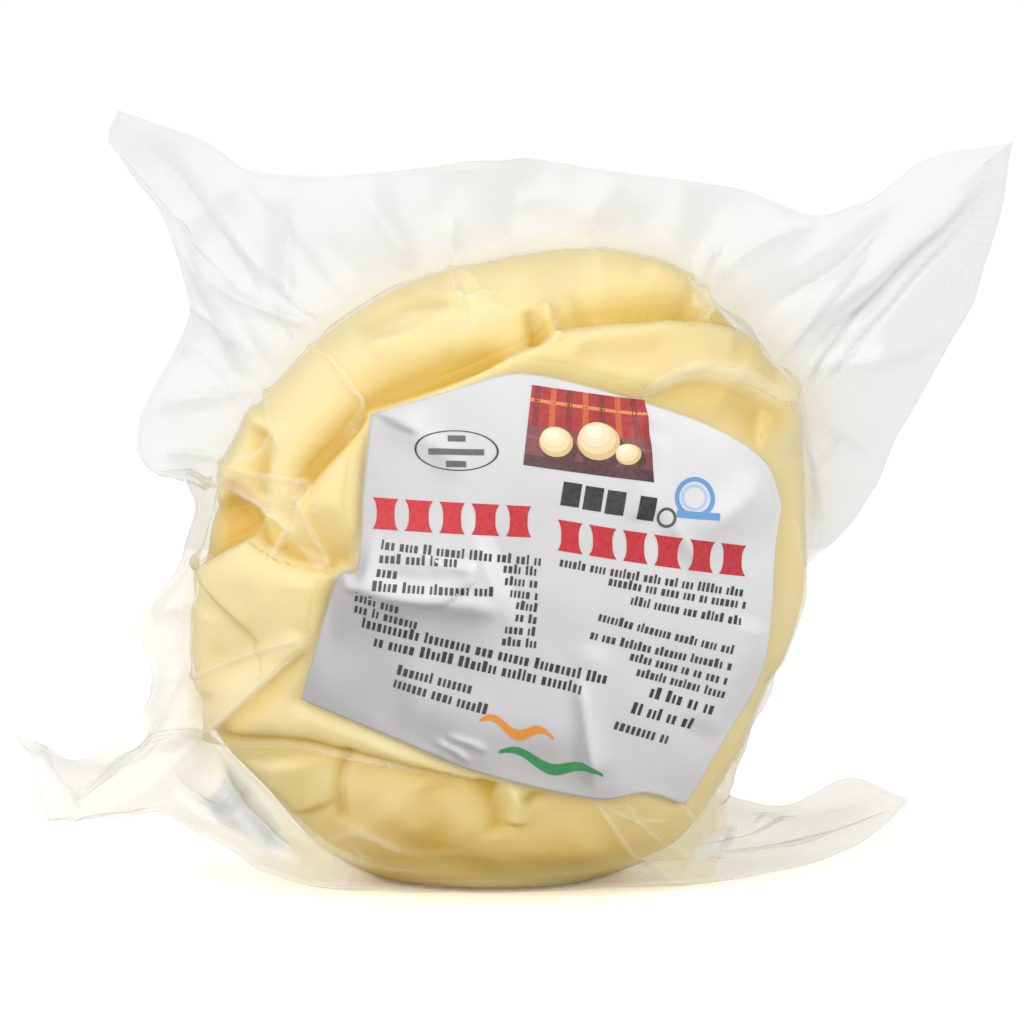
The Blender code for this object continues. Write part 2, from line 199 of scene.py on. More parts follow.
def distance_inside(outline: np.ndarray, x: np.ndarray, z: np.ndarray) -> np.ndarray:
    """Measures points from a closed outline.

    Args:
        outline: the outline's points, in order.
        x: the points' places across.
        z: the points' heights.

    Returns:
        How far inside the outline each point is, and less than 0 outside.
    """
    run = np.roll(outline, -1, axis=0) - outline
    offset_x = x[..., None] - outline[:, 0]
    offset_z = z[..., None] - outline[:, 1]
    part = np.clip((offset_x * run[:, 0] + offset_z * run[:, 1]) / (run ** 2).sum(axis=1), 0.0, 1.0)
    away = np.hypot(offset_x - part * run[:, 0], offset_z - part * run[:, 1]).min(axis=-1)
    above = outline[:, 1] > z[..., None]
    crosses = above != np.roll(above, -1, axis=-1)
    level = np.where(run[:, 1] == 0, 1.0, run[:, 1])
    at = outline[:, 0] + (z[..., None] - outline[:, 1]) / level * run[:, 0]
    inside = (crosses & (x[..., None] < at)).sum(axis=-1) % 2 == 1
    return np.where(inside, away, -away)


def ripples(x: np.ndarray, z: np.ndarray, length: float, seed: int, waves: int = 9) -> np.ndarray:
    """Adds up plain waves in random directions, for gentle unevenness.

    Args:
        x: the points' places across.
        z: the points' heights.
        length: the usual distance from crest to crest.
        seed: fixes the random draw.
        waves: how many waves to add.

    Returns:
        Values mostly between -1 and 1.
    """
    draw = np.random.default_rng(seed)
    total = np.zeros_like(x)
    for _ in range(waves):
        heading = draw.uniform(0.0, math.tau)
        pace = math.tau / (length * draw.uniform(0.7, 1.5))
        phase = draw.uniform(0.0, math.tau)
        total += np.cos(pace * (x * math.cos(heading) + z * math.sin(heading)) + phase)
    return total / math.sqrt(waves)


@dataclass(frozen=True)
class RibbonEdge:
    """A wound ribbon's edge in (x, z). The ribbon lies on the line's right and overlaps what is beyond.

    The ribbon is as high as height at its edge and sinks to nothing over width. Rise is the share of the width
    over which it rounds up. Crease is the depth beside it, which also darkens the cheese's colour there as
    painted shade, and shade how wide the crease is.
    """

    line: Line
    height: float
    width: float
    crease: float = 1.0
    rise: float = 0.25
    shade: float = 4.2
    ends: float = 0.1
    crease_start: float = 0.7
    film_share: float = 0.75
    film_span: float = 3.2

    def parts(self, x: np.ndarray, z: np.ndarray) -> tuple[np.ndarray, np.ndarray, np.ndarray]:
        """Measures the edge at points.

        Args:
            x: the points' places across.
            z: the points' heights.

        Returns:
            The ribbon's rise, how deep in the crease beside it the point is, and how far film bridges it.
        """
        lifts, creases, bridges = (np.zeros_like(x) for _ in range(3))
        near = near_line(self.line, x, z, self.width + 1.0)
        distance, place = from_line(self.line, x[near], z[near])
        ends = run_out(place, self.ends)
        lift = np.sqrt(1.0 - (1.0 - np.clip(distance / (self.rise * self.width), 0.0, 1.0)) ** 2)
        sink = 1.0 - smooth_step(distance / self.width)
        shade = np.exp(-(distance / self.shade) ** 2) * smooth_step(-distance / self.crease_start)
        bridge = smooth_step(1.0 + distance / self.film_span) ** 2 * (distance < 0)
        lifts[near] = ends * self.height * lift * sink
        # The crease is both a dent and painted shade in the cheese's colour.
        creases[near] = ends * self.crease * shade
        bridges[near] = ends * self.height * self.film_share * bridge
        return lifts, creases, bridges


@dataclass(frozen=True)
class Roll:
    """A rounded swelling, or with a negative height a hollow, along a line in (x, z)."""

    line: Line
    height: float
    width: float
    ends: float = 0.15
    reach: float = 3.0

    def at(self, x: np.ndarray, z: np.ndarray) -> np.ndarray:
        """Gives the swelling's height at points (x, z)."""
        height = np.zeros_like(x)
        near = near_line(self.line, x, z, self.reach * self.width)
        distance, place = from_line(self.line, x[near], z[near])
        height[near] = run_out(place, self.ends) * self.height * np.exp(-(distance / self.width) ** 2)
        return height


@dataclass(frozen=True)
class Wrinkle:
    """A sharp-crested fold of film or paper along a line in (x, z), which runs out at its ends."""

    line: Line
    height: float
    width: float
    haze: float = 0.42
    ends: float = 0.3
    reach: float = 5.0
    sharpness: float = 1.5
    haze_width: float = 0.8

    def at(self, x: np.ndarray, z: np.ndarray) -> tuple[np.ndarray, np.ndarray]:
        """Measures the fold at points.

        Args:
            x: the points' places across.
            z: the points' heights.

        Returns:
            The fold's height, and how much it clouds the film.
        """
        height, cloud = np.zeros_like(x), np.zeros_like(x)
        near = near_line(self.line, x, z, self.reach * self.width)
        distance, place = from_line(self.line, x[near], z[near])
        ends = run_out(place, self.ends)
        steps = np.abs(distance) / self.width
        height[near] = ends * self.height / np.cosh(self.sharpness * steps)
        cloud[near] = ends * self.haze * np.exp(-(steps / self.haze_width) ** 2)
        return height, cloud


@dataclass(frozen=True)
class Flap:
    """A flap of slack film, as an outline in (x, z), which clouds the view by haze and eases in over soft.

    Tone is how much warmer, as the cheese's painted glow, or below 0 how much greyer, as painted shade, the
    flap makes the film for each share of haze.
    """

    outline: Line
    haze: float
    soft: float = 0.5
    tone: float = 0.0

    def at(self, x: np.ndarray, z: np.ndarray) -> np.ndarray:
        """Gives how much the flap clouds the view at points (x, z)."""
        cloud = np.zeros_like(x)
        near = near_line(self.outline, x, z, 1.0)
        inside = distance_inside(np.array(self.outline), x[near], z[near])
        cloud[near] = self.haze * smooth_step(0.5 + inside / self.soft)
        return cloud


# How the ribbon is wound over the front, from the photograph
FRONT_EDGES = (
    RibbonEdge(((-28.6, 51.0), (-25.6, 58.2), (-20.0, 65.1), (-16.8, 68.3), (-9.1, 71.3), (-1.4, 74.8),
                (5.3, 77.6), (8.4, 79.2), (12.2, 80.5), (20.1, 80.8), (26.7, 80.7), (33.3, 79.1),
                (36.8, 77.0), (40.5, 73.5)), 2.7, 20.0, 0.72, 0.2, 3.4),
    RibbonEdge(((-42.2, 44.6), (-39.2, 47.4), (-34.1, 50.7), (-32.2, 49.8), (-28.2, 48.1), (-23.3, 47.2),
                (-17.0, 45.0)), 2.7, 20.0, 0.9, 0.16),
    RibbonEdge(((42.4, 67.9), (39.0, 69.5), (35.5, 71.0), (29.3, 72.6), (26.6, 73.0), (23.5, 72.4),
                (20.7, 71.1), (16.5, 68.5)), 1.2, 7.0, 0.5, 0.3, 5.0),
    RibbonEdge(((1.0, 17.3), (-1.6, 18.0), (-13.1, 20.4), (-21.6, 22.2), (-28.8, 23.4),
                (-41.5, 22.6)), 1.5, 12.0, 0.6, 0.25, 3.0),
    RibbonEdge(((-25.0, 37.4), (-32.9, 30.0), (-41.0, 21.2)), 0.9, 5.0, 0.4, 0.4, 2.6),
    RibbonEdge(((36.4, 59.0), (36.8, 64.0), (37.8, 69.4)), 0.9, 6.0, 0.25, 0.35),
)
FRONT_ROLLS = (
    Roll(((-30.4, 48.5), (-29.9, 56.6), (-27.9, 61.8), (-24.4, 66.9), (-20.7, 71.7), (-13.1, 77.6),
          (-3.4, 81.6), (4.9, 84.1), (12.0, 86.0)), 1.2, 6.2),
    Roll(((-27.5, 55.5), (-22.5, 64.2), (-15.5, 70.6), (-6.0, 74.6), (3.0, 78.4)), -1.4, 2.3),
    Roll(((-31.5, 68.5), (-35.0, 62.0), (-37.2, 57.0)), 1.3, 2.4),
    Roll(((-38.7, 56.6), (-35.9, 54.0), (-33.9, 52.0)), -3.4, 3.0),
    Roll(((-31.9, 66.0), (-32.4, 61.0), (-33.0, 56.5)), -1.3, 1.5),
    Roll(((-30.6, 55.0), (-31.0, 52.5), (-30.0, 49.5)), 0.9, 1.1),
    Roll(((12.0, 87.5), (20.0, 88.0), (28.0, 84.5)), 1.2, 5.0),
    Roll(((10.0, 82.3), (19.0, 83.3), (29.0, 82.6)), -0.4, 2.0),
    Roll(((31.0, 76.6), (36.0, 75.4), (40.0, 72.4)), -0.5, 2.0),
    Roll(((6.5, 83.2), (7.6, 80.4), (9.0, 77.8)), 1.3, 1.0),
    Roll(((-4.0, 83.0), (-10.0, 79.0), (-17.5, 76.0)), 0.7, 1.2),
    Roll(((-20.0, 78.5), (-12.0, 82.5), (-6.0, 84.5)), -0.45, 1.4),
    Roll(((-23.0, 71.0), (-13.0, 75.0), (-4.0, 77.5)), -0.35, 1.3),
    Roll(((-3.6, 82.5), (4.0, 82.0), (12.0, 84.0)), 0.5, 1.3),
    Roll(((20.0, 88.0), (27.0, 84.5), (35.0, 80.0)), 0.7, 1.5),
    Roll(((8.0, 76.6), (16.0, 78.9), (27.0, 78.8), (34.0, 76.8)), 0.5, 1.4),
    Roll(((4.0, 75.5), (14.0, 76.2), (24.0, 76.8)), -0.3, 1.6),
    Roll(((4.4, 82.5), (5.4, 80.0), (5.8, 77.8)), -0.9, 1.1),
    Roll(((-19.5, 23.0), (-21.4, 18.5), (-21.6, 15.0), (-21.0, 10.0)), -0.9, 0.9),
    Roll(((-30.0, 20.0), (-29.0, 15.0), (-27.0, 11.0)), 1.2, 5.0),
    Roll(((-1.8, 19.0), (-0.6, 15.0), (0.4, 9.5)), -0.8, 1.7),
    Roll(((2.6, 18.5), (3.2, 15.0), (3.0, 11.0)), 1.1, 1.3),
    Roll(((3.6, 14.4), (6.5, 15.8), (10.5, 16.6)), -0.8, 1.0),
    Roll(((-9.5, 17.5), (-8.0, 12.0), (-7.0, 6.0)), -0.35, 2.4),
    Roll(((-17.0, 16.0), (-8.0, 11.0), (4.0, 7.5), (17.0, 8.5)), 0.9, 4.0),
    Roll(((-41.0, 41.0), (-41.5, 34.0), (-40.5, 27.0)), 0.7, 2.6),
    Roll(((41.5, 63.0), (42.2, 52.0), (41.8, 40.0), (38.5, 28.0)), 1.0, 2.2),
)
BACK_EDGES = (
    RibbonEdge(((-37.0, 60.0), (-25.0, 70.0), (-5.0, 78.0), (16.0, 79.0), (33.0, 73.0)), 2.6, 16.0, 1.2,
                0.25),
    RibbonEdge(((-40.0, 42.0), (-24.0, 54.0), (-2.0, 62.0), (20.0, 61.0), (40.0, 52.0)), 2.6, 30.0, 1.2,
                0.15),
    RibbonEdge(((-36.0, 18.0), (-16.0, 27.0), (6.0, 30.0), (24.0, 27.0), (38.0, 20.0)), 2.4, 16.0, 1.0,
                0.25),
)
BACK_ROLLS = (
    Roll(((-35.0, 50.0), (-12.0, 68.0), (14.0, 71.0), (36.0, 62.0)), 0.9, 4.0),
    Roll(((-38.0, 30.0), (-10.0, 44.0), (16.0, 47.0), (39.0, 38.0)), 1.0, 5.0),
    Roll(((-22.0, 14.0), (0.0, 18.0), (22.0, 15.0)), 0.8, 4.0),
    Roll(((8.0, 56.0), (14.0, 50.0), (17.0, 42.0)), -0.8, 1.6),
)

# The film's folds where it lies on the cheese
FRONT_WRINKLES = (
    Wrinkle(((-42.5, 18.5), (-40.3, 21.8), (-32.9, 30.0), (-26.3, 36.2)), 1.5, 1.0),
    Wrinkle(((-48.1, 27.3), (-41.7, 30.9), (-33.5, 35.3), (-26.4, 38.0), (-24.5, 38.6)), 0.8, 0.6),
    Wrinkle(((-43.0, 20.6), (-40.1, 21.6), (-28.8, 22.6), (-21.6, 21.6), (-13.1, 20.4), (-1.6, 18.4)), 0.9,
             0.7),
    Wrinkle(((-46.0, 60.6), (-35.5, 59.7), (-25.6, 59.0), (-23.6, 58.0)), 0.7, 0.5),
    Wrinkle(((-40.5, 59.0), (-38.1, 57.7), (-32.1, 55.5), (-28.3, 52.8), (-27.0, 51.0)), 0.9, 0.7),
    Wrinkle(((-28.4, 53.4), (-29.2, 50.2), (-30.2, 46.8)), 1.0, 0.6),
    Wrinkle(((-26.6, 57.0), (-25.8, 55.6), (-24.3, 51.8), (-21.1, 46.4)), 0.9, 0.6),
    Wrinkle(((-27.0, 76.8), (-25.7, 76.2), (-21.9, 74.7), (-17.8, 69.8), (-19.0, 66.2), (-21.0, 63.0)), 0.7,
             0.5),
    Wrinkle(((-32.4, 71.0), (-31.6, 69.3), (-29.4, 64.5), (-28.6, 62.0)), 0.8, 0.6),
    Wrinkle(((-29.0, 66.0), (-32.5, 62.0), (-36.5, 60.0)), 0.5, 0.6),
    Wrinkle(((-6.8, 89.5), (-6.0, 86.5), (-4.7, 83.4), (-3.4, 78.1)), 1.1, 0.6),
    Wrinkle(((-11.0, 85.5), (-6.5, 83.9), (-4.7, 83.4), (-1.8, 83.7), (3.0, 84.8)), 0.6, 0.5),
    Wrinkle(((6.2, 83.4), (7.0, 82.2), (8.3, 78.8), (8.8, 77.0)), 0.5, 0.5, 0.25),
    Wrinkle(((-6.5, 88.4), (-3.4, 86.0), (-0.9, 83.3), (2.0, 80.5)), 0.5, 0.6, 0.25),
    Wrinkle(((-24.5, 78.0), (-22.8, 79.2), (-15.4, 83.9), (-7.9, 87.9)), 0.5, 0.5, 0.30),
    Wrinkle(((-22.3, 75.5), (-19.6, 71.4), (-17.9, 70.4), (-17.9, 69.2), (-19.1, 67.6)), 0.5, 0.4, 0.30),
    Wrinkle(((-20.0, 77.0), (-11.0, 76.5), (-2.0, 79.5)), 0.45, 1.2, 0.10),
    Wrinkle(((-16.0, 80.5), (-8.0, 81.5), (-4.2, 79.0)), 0.45, 1.0, 0.12),
    Wrinkle(((13.5, 85.5), (22.0, 85.0), (33.0, 80.5)), 0.4, 1.2, 0.10),
    Wrinkle(((28.6, 87.5), (28.7, 85.2), (28.8, 80.7), (28.6, 79.5)), 1.2, 0.6),
    Wrinkle(((26.6, 87.0), (27.2, 84.0), (27.8, 80.4)), 0.7, 0.5),
    Wrinkle(((17.0, 68.6), (18.8, 69.9), (20.9, 71.4), (23.5, 72.7), (26.8, 73.5), (29.6, 73.1),
             (35.7, 71.5), (40.4, 69.2), (43.4, 67.7)), 1.0, 0.8, 0.35),
    Wrinkle(((40.0, 75.1), (41.4, 71.5), (43.3, 68.7)), 1.0, 0.8),
    Wrinkle(((-24.5, 5.5), (-22.9, 7.8), (-20.8, 9.8), (-19.0, 10.5), (-16.0, 9.6), (-13.3, 8.1),
             (-9.5, 6.6), (-4.0, 4.6)), 1.5, 1.0, 0.35),
    Wrinkle(((12.6, 17.0), (13.6, 15.4), (17.1, 9.6), (21.0, 2.9), (22.5, 0.5)), 0.8, 0.45, 0.5),
    Wrinkle(((17.0, 17.0), (19.5, 12.0), (23.5, 7.5), (27.5, 4.0)), 0.5, 0.5, 0.3),
    Wrinkle(((14.5, 14.2), (20.0, 11.5), (26.5, 11.2)), 0.4, 0.5, 0.3),
    Wrinkle(((41.2, 56.0), (41.6, 50.0), (42.3, 42.7), (41.6, 36.0)), 0.5, 0.5),
    Wrinkle(((-42.6, 40.0), (-41.5, 47.0), (-37.8, 48.6)), 0.6, 0.6),
    Wrinkle(((-19.0, 22.5), (-20.9, 18.5), (-21.1, 15.0), (-20.5, 10.5)), 0.6, 0.5, 0.3),
    Wrinkle(((-21.7, 8.3), (-17.4, 5.1), (-14.2, 1.9), (-10.0, 1.4)), 0.6, 0.4, 0.4),
    Wrinkle(((1.6, 18.8), (2.8, 16.7), (3.0, 11.8)), 0.4, 0.5),
    Wrinkle(((24.0, 20.0), (27.0, 12.0), (30.5, 8.0)), 0.6, 0.6),
)
BACK_WRINKLES = (
    Wrinkle(((-41.0, 62.0), (-28.0, 57.0), (-17.0, 55.0)), 0.9, 0.7),
    Wrinkle(((-38.0, 72.0), (-29.0, 64.0), (-24.0, 55.0)), 0.8, 0.6),
    Wrinkle(((40.0, 74.0), (29.0, 66.0), (22.0, 56.0)), 1.0, 0.7),
    Wrinkle(((43.0, 66.0), (31.0, 62.0), (20.0, 62.5)), 0.7, 0.6),
    Wrinkle(((-40.0, 24.0), (-27.0, 30.0), (-13.0, 33.0)), 1.1, 0.8),
    Wrinkle(((-36.0, 16.0), (-24.0, 20.0), (-8.0, 20.0)), 0.8, 0.6),
    Wrinkle(((30.0, 12.0), (20.0, 19.0), (8.0, 22.0)), 1.0, 0.7),
    Wrinkle(((2.0, 90.0), (1.0, 80.0), (3.0, 70.0)), 0.9, 0.6),
    Wrinkle(((-14.0, 88.0), (-9.0, 80.0), (-8.0, 74.0)), 0.6, 0.5),
)

FRONT_FLAPS = (
    Flap(((-50.0, 26.0), (-48.1, 27.3), (-41.7, 30.9), (-33.5, 35.3), (-26.4, 38.0), (-23.4, 38.6),
          (-24.2, 34.0), (-26.3, 36.2), (-32.9, 30.0), (-40.3, 21.8), (-46.0, 18.5)), 0.42),
    Flap(((-46.0, 60.6), (-35.5, 59.7), (-25.6, 59.0), (-23.8, 58.2), (-26.0, 55.4), (-28.3, 52.8),
          (-32.1, 55.5), (-38.1, 57.7), (-44.0, 59.4)), 0.38),
    Flap(((-28.8, 51.9), (-26.2, 56.0), (-24.3, 51.8), (-21.1, 46.4), (-23.0, 46.8), (-26.0, 49.5)), 0.34),
    Flap(((-27.0, 76.8), (-21.9, 74.7), (-17.8, 69.8), (-19.0, 66.2), (-22.0, 64.0), (-29.5, 64.5),
          (-32.4, 71.0)), 0.12, 1.5),
    Flap(((-6.8, 89.0), (-4.7, 83.4), (-3.4, 78.1), (-1.8, 83.7), (-3.0, 87.0)), 0.27, 1.2),
    Flap(((26.6, 87.0), (28.7, 87.0), (30.0, 84.0), (28.9, 80.2), (27.6, 80.2)), 0.27, 1.0),
    Flap(((17.0, 69.6), (20.6, 72.2), (23.3, 73.8), (26.6, 74.6), (29.8, 74.3), (35.9, 72.8), (40.6, 70.4),
          (44.4, 68.0), (40.0, 68.9), (35.4, 70.8), (29.4, 72.3), (26.6, 72.5), (23.9, 71.9), (21.1, 70.5),
          (19.2, 69.2)), 0.40, 0.5),
    Flap(((39.6, 76.0), (42.5, 71.0), (44.5, 66.0), (41.0, 66.5), (37.0, 71.6)), 0.08, 1.5),
    Flap(((12.6, 16.6), (17.1, 10.0), (20.0, 5.3), (23.9, -2.0), (42.0, 0.0), (42.0, 16.0), (33.0, 19.0),
          (27.0, 13.0), (22.0, 14.6)), 0.19),
    Flap(((41.0, 60.0), (41.0, 44.0), (39.0, 30.0), (30.0, 14.0), (36.0, 14.0), (46.0, 36.0), (48.0, 60.0)),
         0.14, 1.5),
    Flap(((-30.0, 3.0), (-25.0, 5.5), (-22.9, 8.3), (-19.0, 10.9), (-16.0, 10.0), (-13.0, 8.3), (-15.6, 3.0),
          (-15.6, -1.0), (-30.0, -1.0)), 0.15, 0.8),
    Flap(((-42.5, 45.5), (-39.2, 48.4), (-37.0, 47.0), (-40.0, 44.0), (-40.4, 27.0), (-44.5, 27.0)), 0.23,
          1.5),
)

# Slack film in the fins; their tones paint shade as grey and the cheese's glow as cream.
FIN_FLAPS = (
    Flap(((-38.0, 18.0), (-34.6, 14.2), (-30.4, 8.6), (-29.2, 6.0), (-31.6, 5.6), (-34.8, 7.6), (-38.6, 9.4),
          (-42.0, 12.0), (-39.8, 13.4), (-38.4, 15.6)), 0.28, 0.8, -1.6),
    Flap(((-29.5, 9.5), (-27.0, 6.6), (-23.4, 7.8), (-23.2, 2.0), (-28.0, 0.0), (-34.0, 4.0)), 0.20, 0.8,
          0.8),
    Flap(((-66.0, 12.0), (-54.0, 16.0), (-47.0, 20.6), (-41.0, 21.4), (-37.0, 13.0), (-42.0, 8.0),
          (-52.0, 8.0)), 0.08, 2.0, 0.3),
    Flap(((-47.3, 28.0), (-41.2, 31.3), (-36.0, 33.5), (-40.3, 22.0), (-47.5, 21.0), (-54.0, 25.0)), 0.16,
          0.5, 0.8),
    Flap(((31.0, 3.5), (38.0, 7.0), (46.0, 9.0), (57.0, 10.5), (50.0, 5.0), (40.0, 1.5), (31.0, 0.5)), 0.05,
          1.5, 0.1),
    Flap(((25.6, 10.0), (31.1, 15.2), (32.0, 11.5), (31.2, 0.4), (25.9, 0.6), (20.8, 4.0)), 0.34, 0.6, 0.8),
    Flap(((27.5, 3.5), (34.0, 5.0), (34.0, 7.5), (29.0, 7.0)), 0.26, 0.7, -1.2),
    Flap(((40.5, 67.5), (43.5, 66.0), (44.5, 55.0), (43.0, 49.0), (41.8, 55.0)), 0.14, 0.8, 0.5),
    Flap(((43.0, 58.0), (46.5, 57.5), (47.0, 51.5), (44.0, 50.5)), 0.16, 0.7, -0.3),
)

# The folds of the film that stands out round the ball
FIN_CREASES = (
    Wrinkle(((38.5, 73.5), (51.6, 85.4), (63.3, 95.8), (70.0, 102.0)), 2.4, 1.6, 0.22),
    Wrinkle(((42.5, 66.5), (46.7, 77.4), (53.2, 82.9), (64.7, 95.8)), -2.0, 1.2, 0.22),
    Wrinkle(((40.0, 72.0), (47.0, 74.0), (58.0, 75.5), (66.0, 79.0)), 1.3, 1.4, 0.13),
    Wrinkle(((43.0, 67.0), (50.0, 62.0), (55.5, 59.0)), -1.0, 1.2, 0.13),
    Wrinkle(((30.0, 84.0), (36.0, 90.0), (47.0, 95.0)), 1.4, 1.3, 0.13),
    Wrinkle(((32.7, 91.5), (30.0, 88.0), (28.4, 84.0)), 1.5, 0.6, 0.33),
    Wrinkle(((36.0, 80.0), (49.0, 89.0), (58.0, 98.5)), -1.3, 1.2, 0.13),
    Wrinkle(((-45.5, 92.4), (-42.7, 85.4), (-37.7, 77.2), (-34.5, 71.0)), 2.0, 1.2, 0.22),
    Wrinkle(((-44.0, 88.5), (-38.1, 83.7), (-30.2, 80.5), (-21.0, 77.6)), 1.5, 1.0, 0.18),
    Wrinkle(((-30.1, 98.0), (-30.3, 90.0), (-30.2, 80.5), (-28.0, 74.0)), -1.3, 1.3, 0.11),
    Wrinkle(((-52.0, 107.0), (-45.0, 99.0), (-38.0, 89.0), (-30.0, 79.0)), -1.7, 1.4, 0.13),
    Wrinkle(((-20.0, 100.0), (-14.0, 92.0), (-11.0, 85.0)), 1.3, 1.6, 0.11),
    Wrinkle(((-6.5, 96.0), (-5.8, 91.0), (-5.0, 85.0)), 1.5, 0.7, 0.26),
    Wrinkle(((4.0, 102.5), (2.0, 96.0), (3.0, 88.0)), -1.0, 1.8, 0.09),
    Wrinkle(((18.0, 100.5), (14.0, 95.0), (13.0, 90.0)), 1.2, 1.6, 0.11),
    Wrinkle(((-50.5, 68.0), (-45.0, 68.0), (-38.0, 69.0), (-32.0, 70.5)), 1.3, 1.1, 0.13),
    Wrinkle(((-48.5, 60.3), (-42.0, 60.3), (-37.0, 59.8)), 1.1, 0.7, 0.26),
    Wrinkle(((-47.0, 76.0), (-41.0, 72.0), (-36.0, 66.0)), -1.0, 1.0, 0.11),
    Wrinkle(((-50.0, 36.0), (-46.0, 38.0), (-41.0, 38.5)), 0.9, 1.1, 0.11),
    Wrinkle(((-61.5, 12.2), (-52.1, 16.6), (-47.8, 18.5), (-39.0, 21.8)), 2.2, 0.8, 0.26),
    Wrinkle(((-60.0, 13.8), (-57.7, 14.6), (-52.1, 19.2), (-49.0, 23.0)), -1.5, 0.7, 0.22),
    Wrinkle(((-49.8, 19.6), (-45.0, 20.6), (-39.5, 21.4)), 1.8, 0.6, 0.33),
    Wrinkle(((-47.8, 18.2), (-42.7, 12.8), (-39.4, 11.0), (-36.1, 12.8), (-35.5, 15.5)), 1.4, 0.6, 0.26),
    Wrinkle(((-40.4, 21.0), (-37.0, 13.0), (-32.0, 7.5), (-26.0, 4.0)), 1.7, 0.7, 0.22),
    Wrinkle(((-66.5, 20.0), (-62.5, 15.5), (-58.0, 11.5)), 1.3, 0.6, 0.26),
    Wrinkle(((31.2, 9.0), (31.2, 5.7), (31.2, 0.0)), 1.1, 0.6, 0.26),
    Wrinkle(((17.0, 11.0), (19.7, 9.6), (25.2, 5.7), (28.5, 2.0)), 1.3, 0.6, 0.26),
    Wrinkle(((25.9, 8.0), (25.9, 5.7), (27.7, 0.5)), -1.0, 0.6, 0.18),
    Wrinkle(((30.0, 10.5), (38.0, 7.0), (47.0, 7.0), (57.0, 9.5)), 1.5, 0.8, 0.18),
    Wrinkle(((33.0, 4.0), (42.0, 4.5), (52.0, 7.0)), -1.0, 0.7, 0.11),
    Wrinkle(((42.8, 67.6), (47.5, 76.5), (56.5, 88.0), (67.0, 99.0)), 0.9, 0.45, 0.32),
    Wrinkle(((43.8, 67.4), (50.5, 76.0), (60.5, 88.0), (69.5, 98.0)), -0.8, 0.45, 0.30),
    Wrinkle(((39.6, 72.6), (44.0, 79.0), (50.0, 87.0), (56.0, 97.0)), 0.9, 0.5, 0.26),
    Wrinkle(((-41.0, 97.0), (-35.0, 88.5), (-27.0, 81.5), (-19.0, 79.5)), 0.8, 0.5, 0.24),
    Wrinkle(((-48.0, 84.0), (-41.0, 79.5), (-33.0, 73.5)), 0.8, 0.5, 0.24),
    Wrinkle(((43.0, 71.0), (43.8, 68.0), (44.5, 62.6), (45.6, 58.2), (46.0, 51.6), (45.1, 43.0)), 1.3, 0.5,
             0.3),
    Wrinkle(((42.8, 66.0), (43.4, 58.0), (43.2, 50.0), (43.6, 40.0), (41.5, 32.0)), -1.0, 0.6, 0.3),
    Wrinkle(((44.0, 58.0), (47.0, 60.5), (50.5, 65.0)), 0.9, 0.5, 0.22),
    Wrinkle(((20.8, 4.0), (25.9, 0.9), (30.3, 0.6), (38.0, 1.6)), 1.0, 0.5, 0.3),
)

# The label's four sides, from its upper left corner and its right and lower corners
LABEL_TOP = (
    (-16.8, 68.3), (-3.2, 72.5), (4.0, 74.0), (14.3, 71.9), (28.5, 67.1), (36.7, 61.8), (39.3, 55.3),
)
LABEL_RIGHT = ((39.3, 55.3), (38.5, 49.1), (37.9, 38.7), (36.4, 30.8), (32.0, 23.2), (26.3, 13.7))
LABEL_BOTTOM = ((-26.5, 29.4), (-14.4, 24.6), (-2.0, 19.5), (13.5, 15.5), (20.6, 16.0), (26.3, 13.7))
LABEL_LEFT = ((-16.8, 68.3), (-17.8, 58.1), (-18.5, 47.8), (-21.3, 46.4), (-24.7, 35.4), (-26.5, 29.4))


@dataclass(frozen=True)
class Placement:
    """Where the layout lies in the frame: the frame's X = 0 is midway between the bag's two far corners."""

    left_tip: float = -68.603
    front_of_label: float = -27.697
    floor: float = 0.0

    def shift(self) -> np.ndarray:
        """Works out the move from the layout to the frame, in millimetres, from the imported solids' boxes."""
        bag_low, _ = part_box("bag")
        label_low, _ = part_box("label")
        return np.array([
            bag_low.x / METRES - self.left_tip,
            label_low.y / METRES - self.front_of_label,
            bag_low.z / METRES - self.floor,
        ])


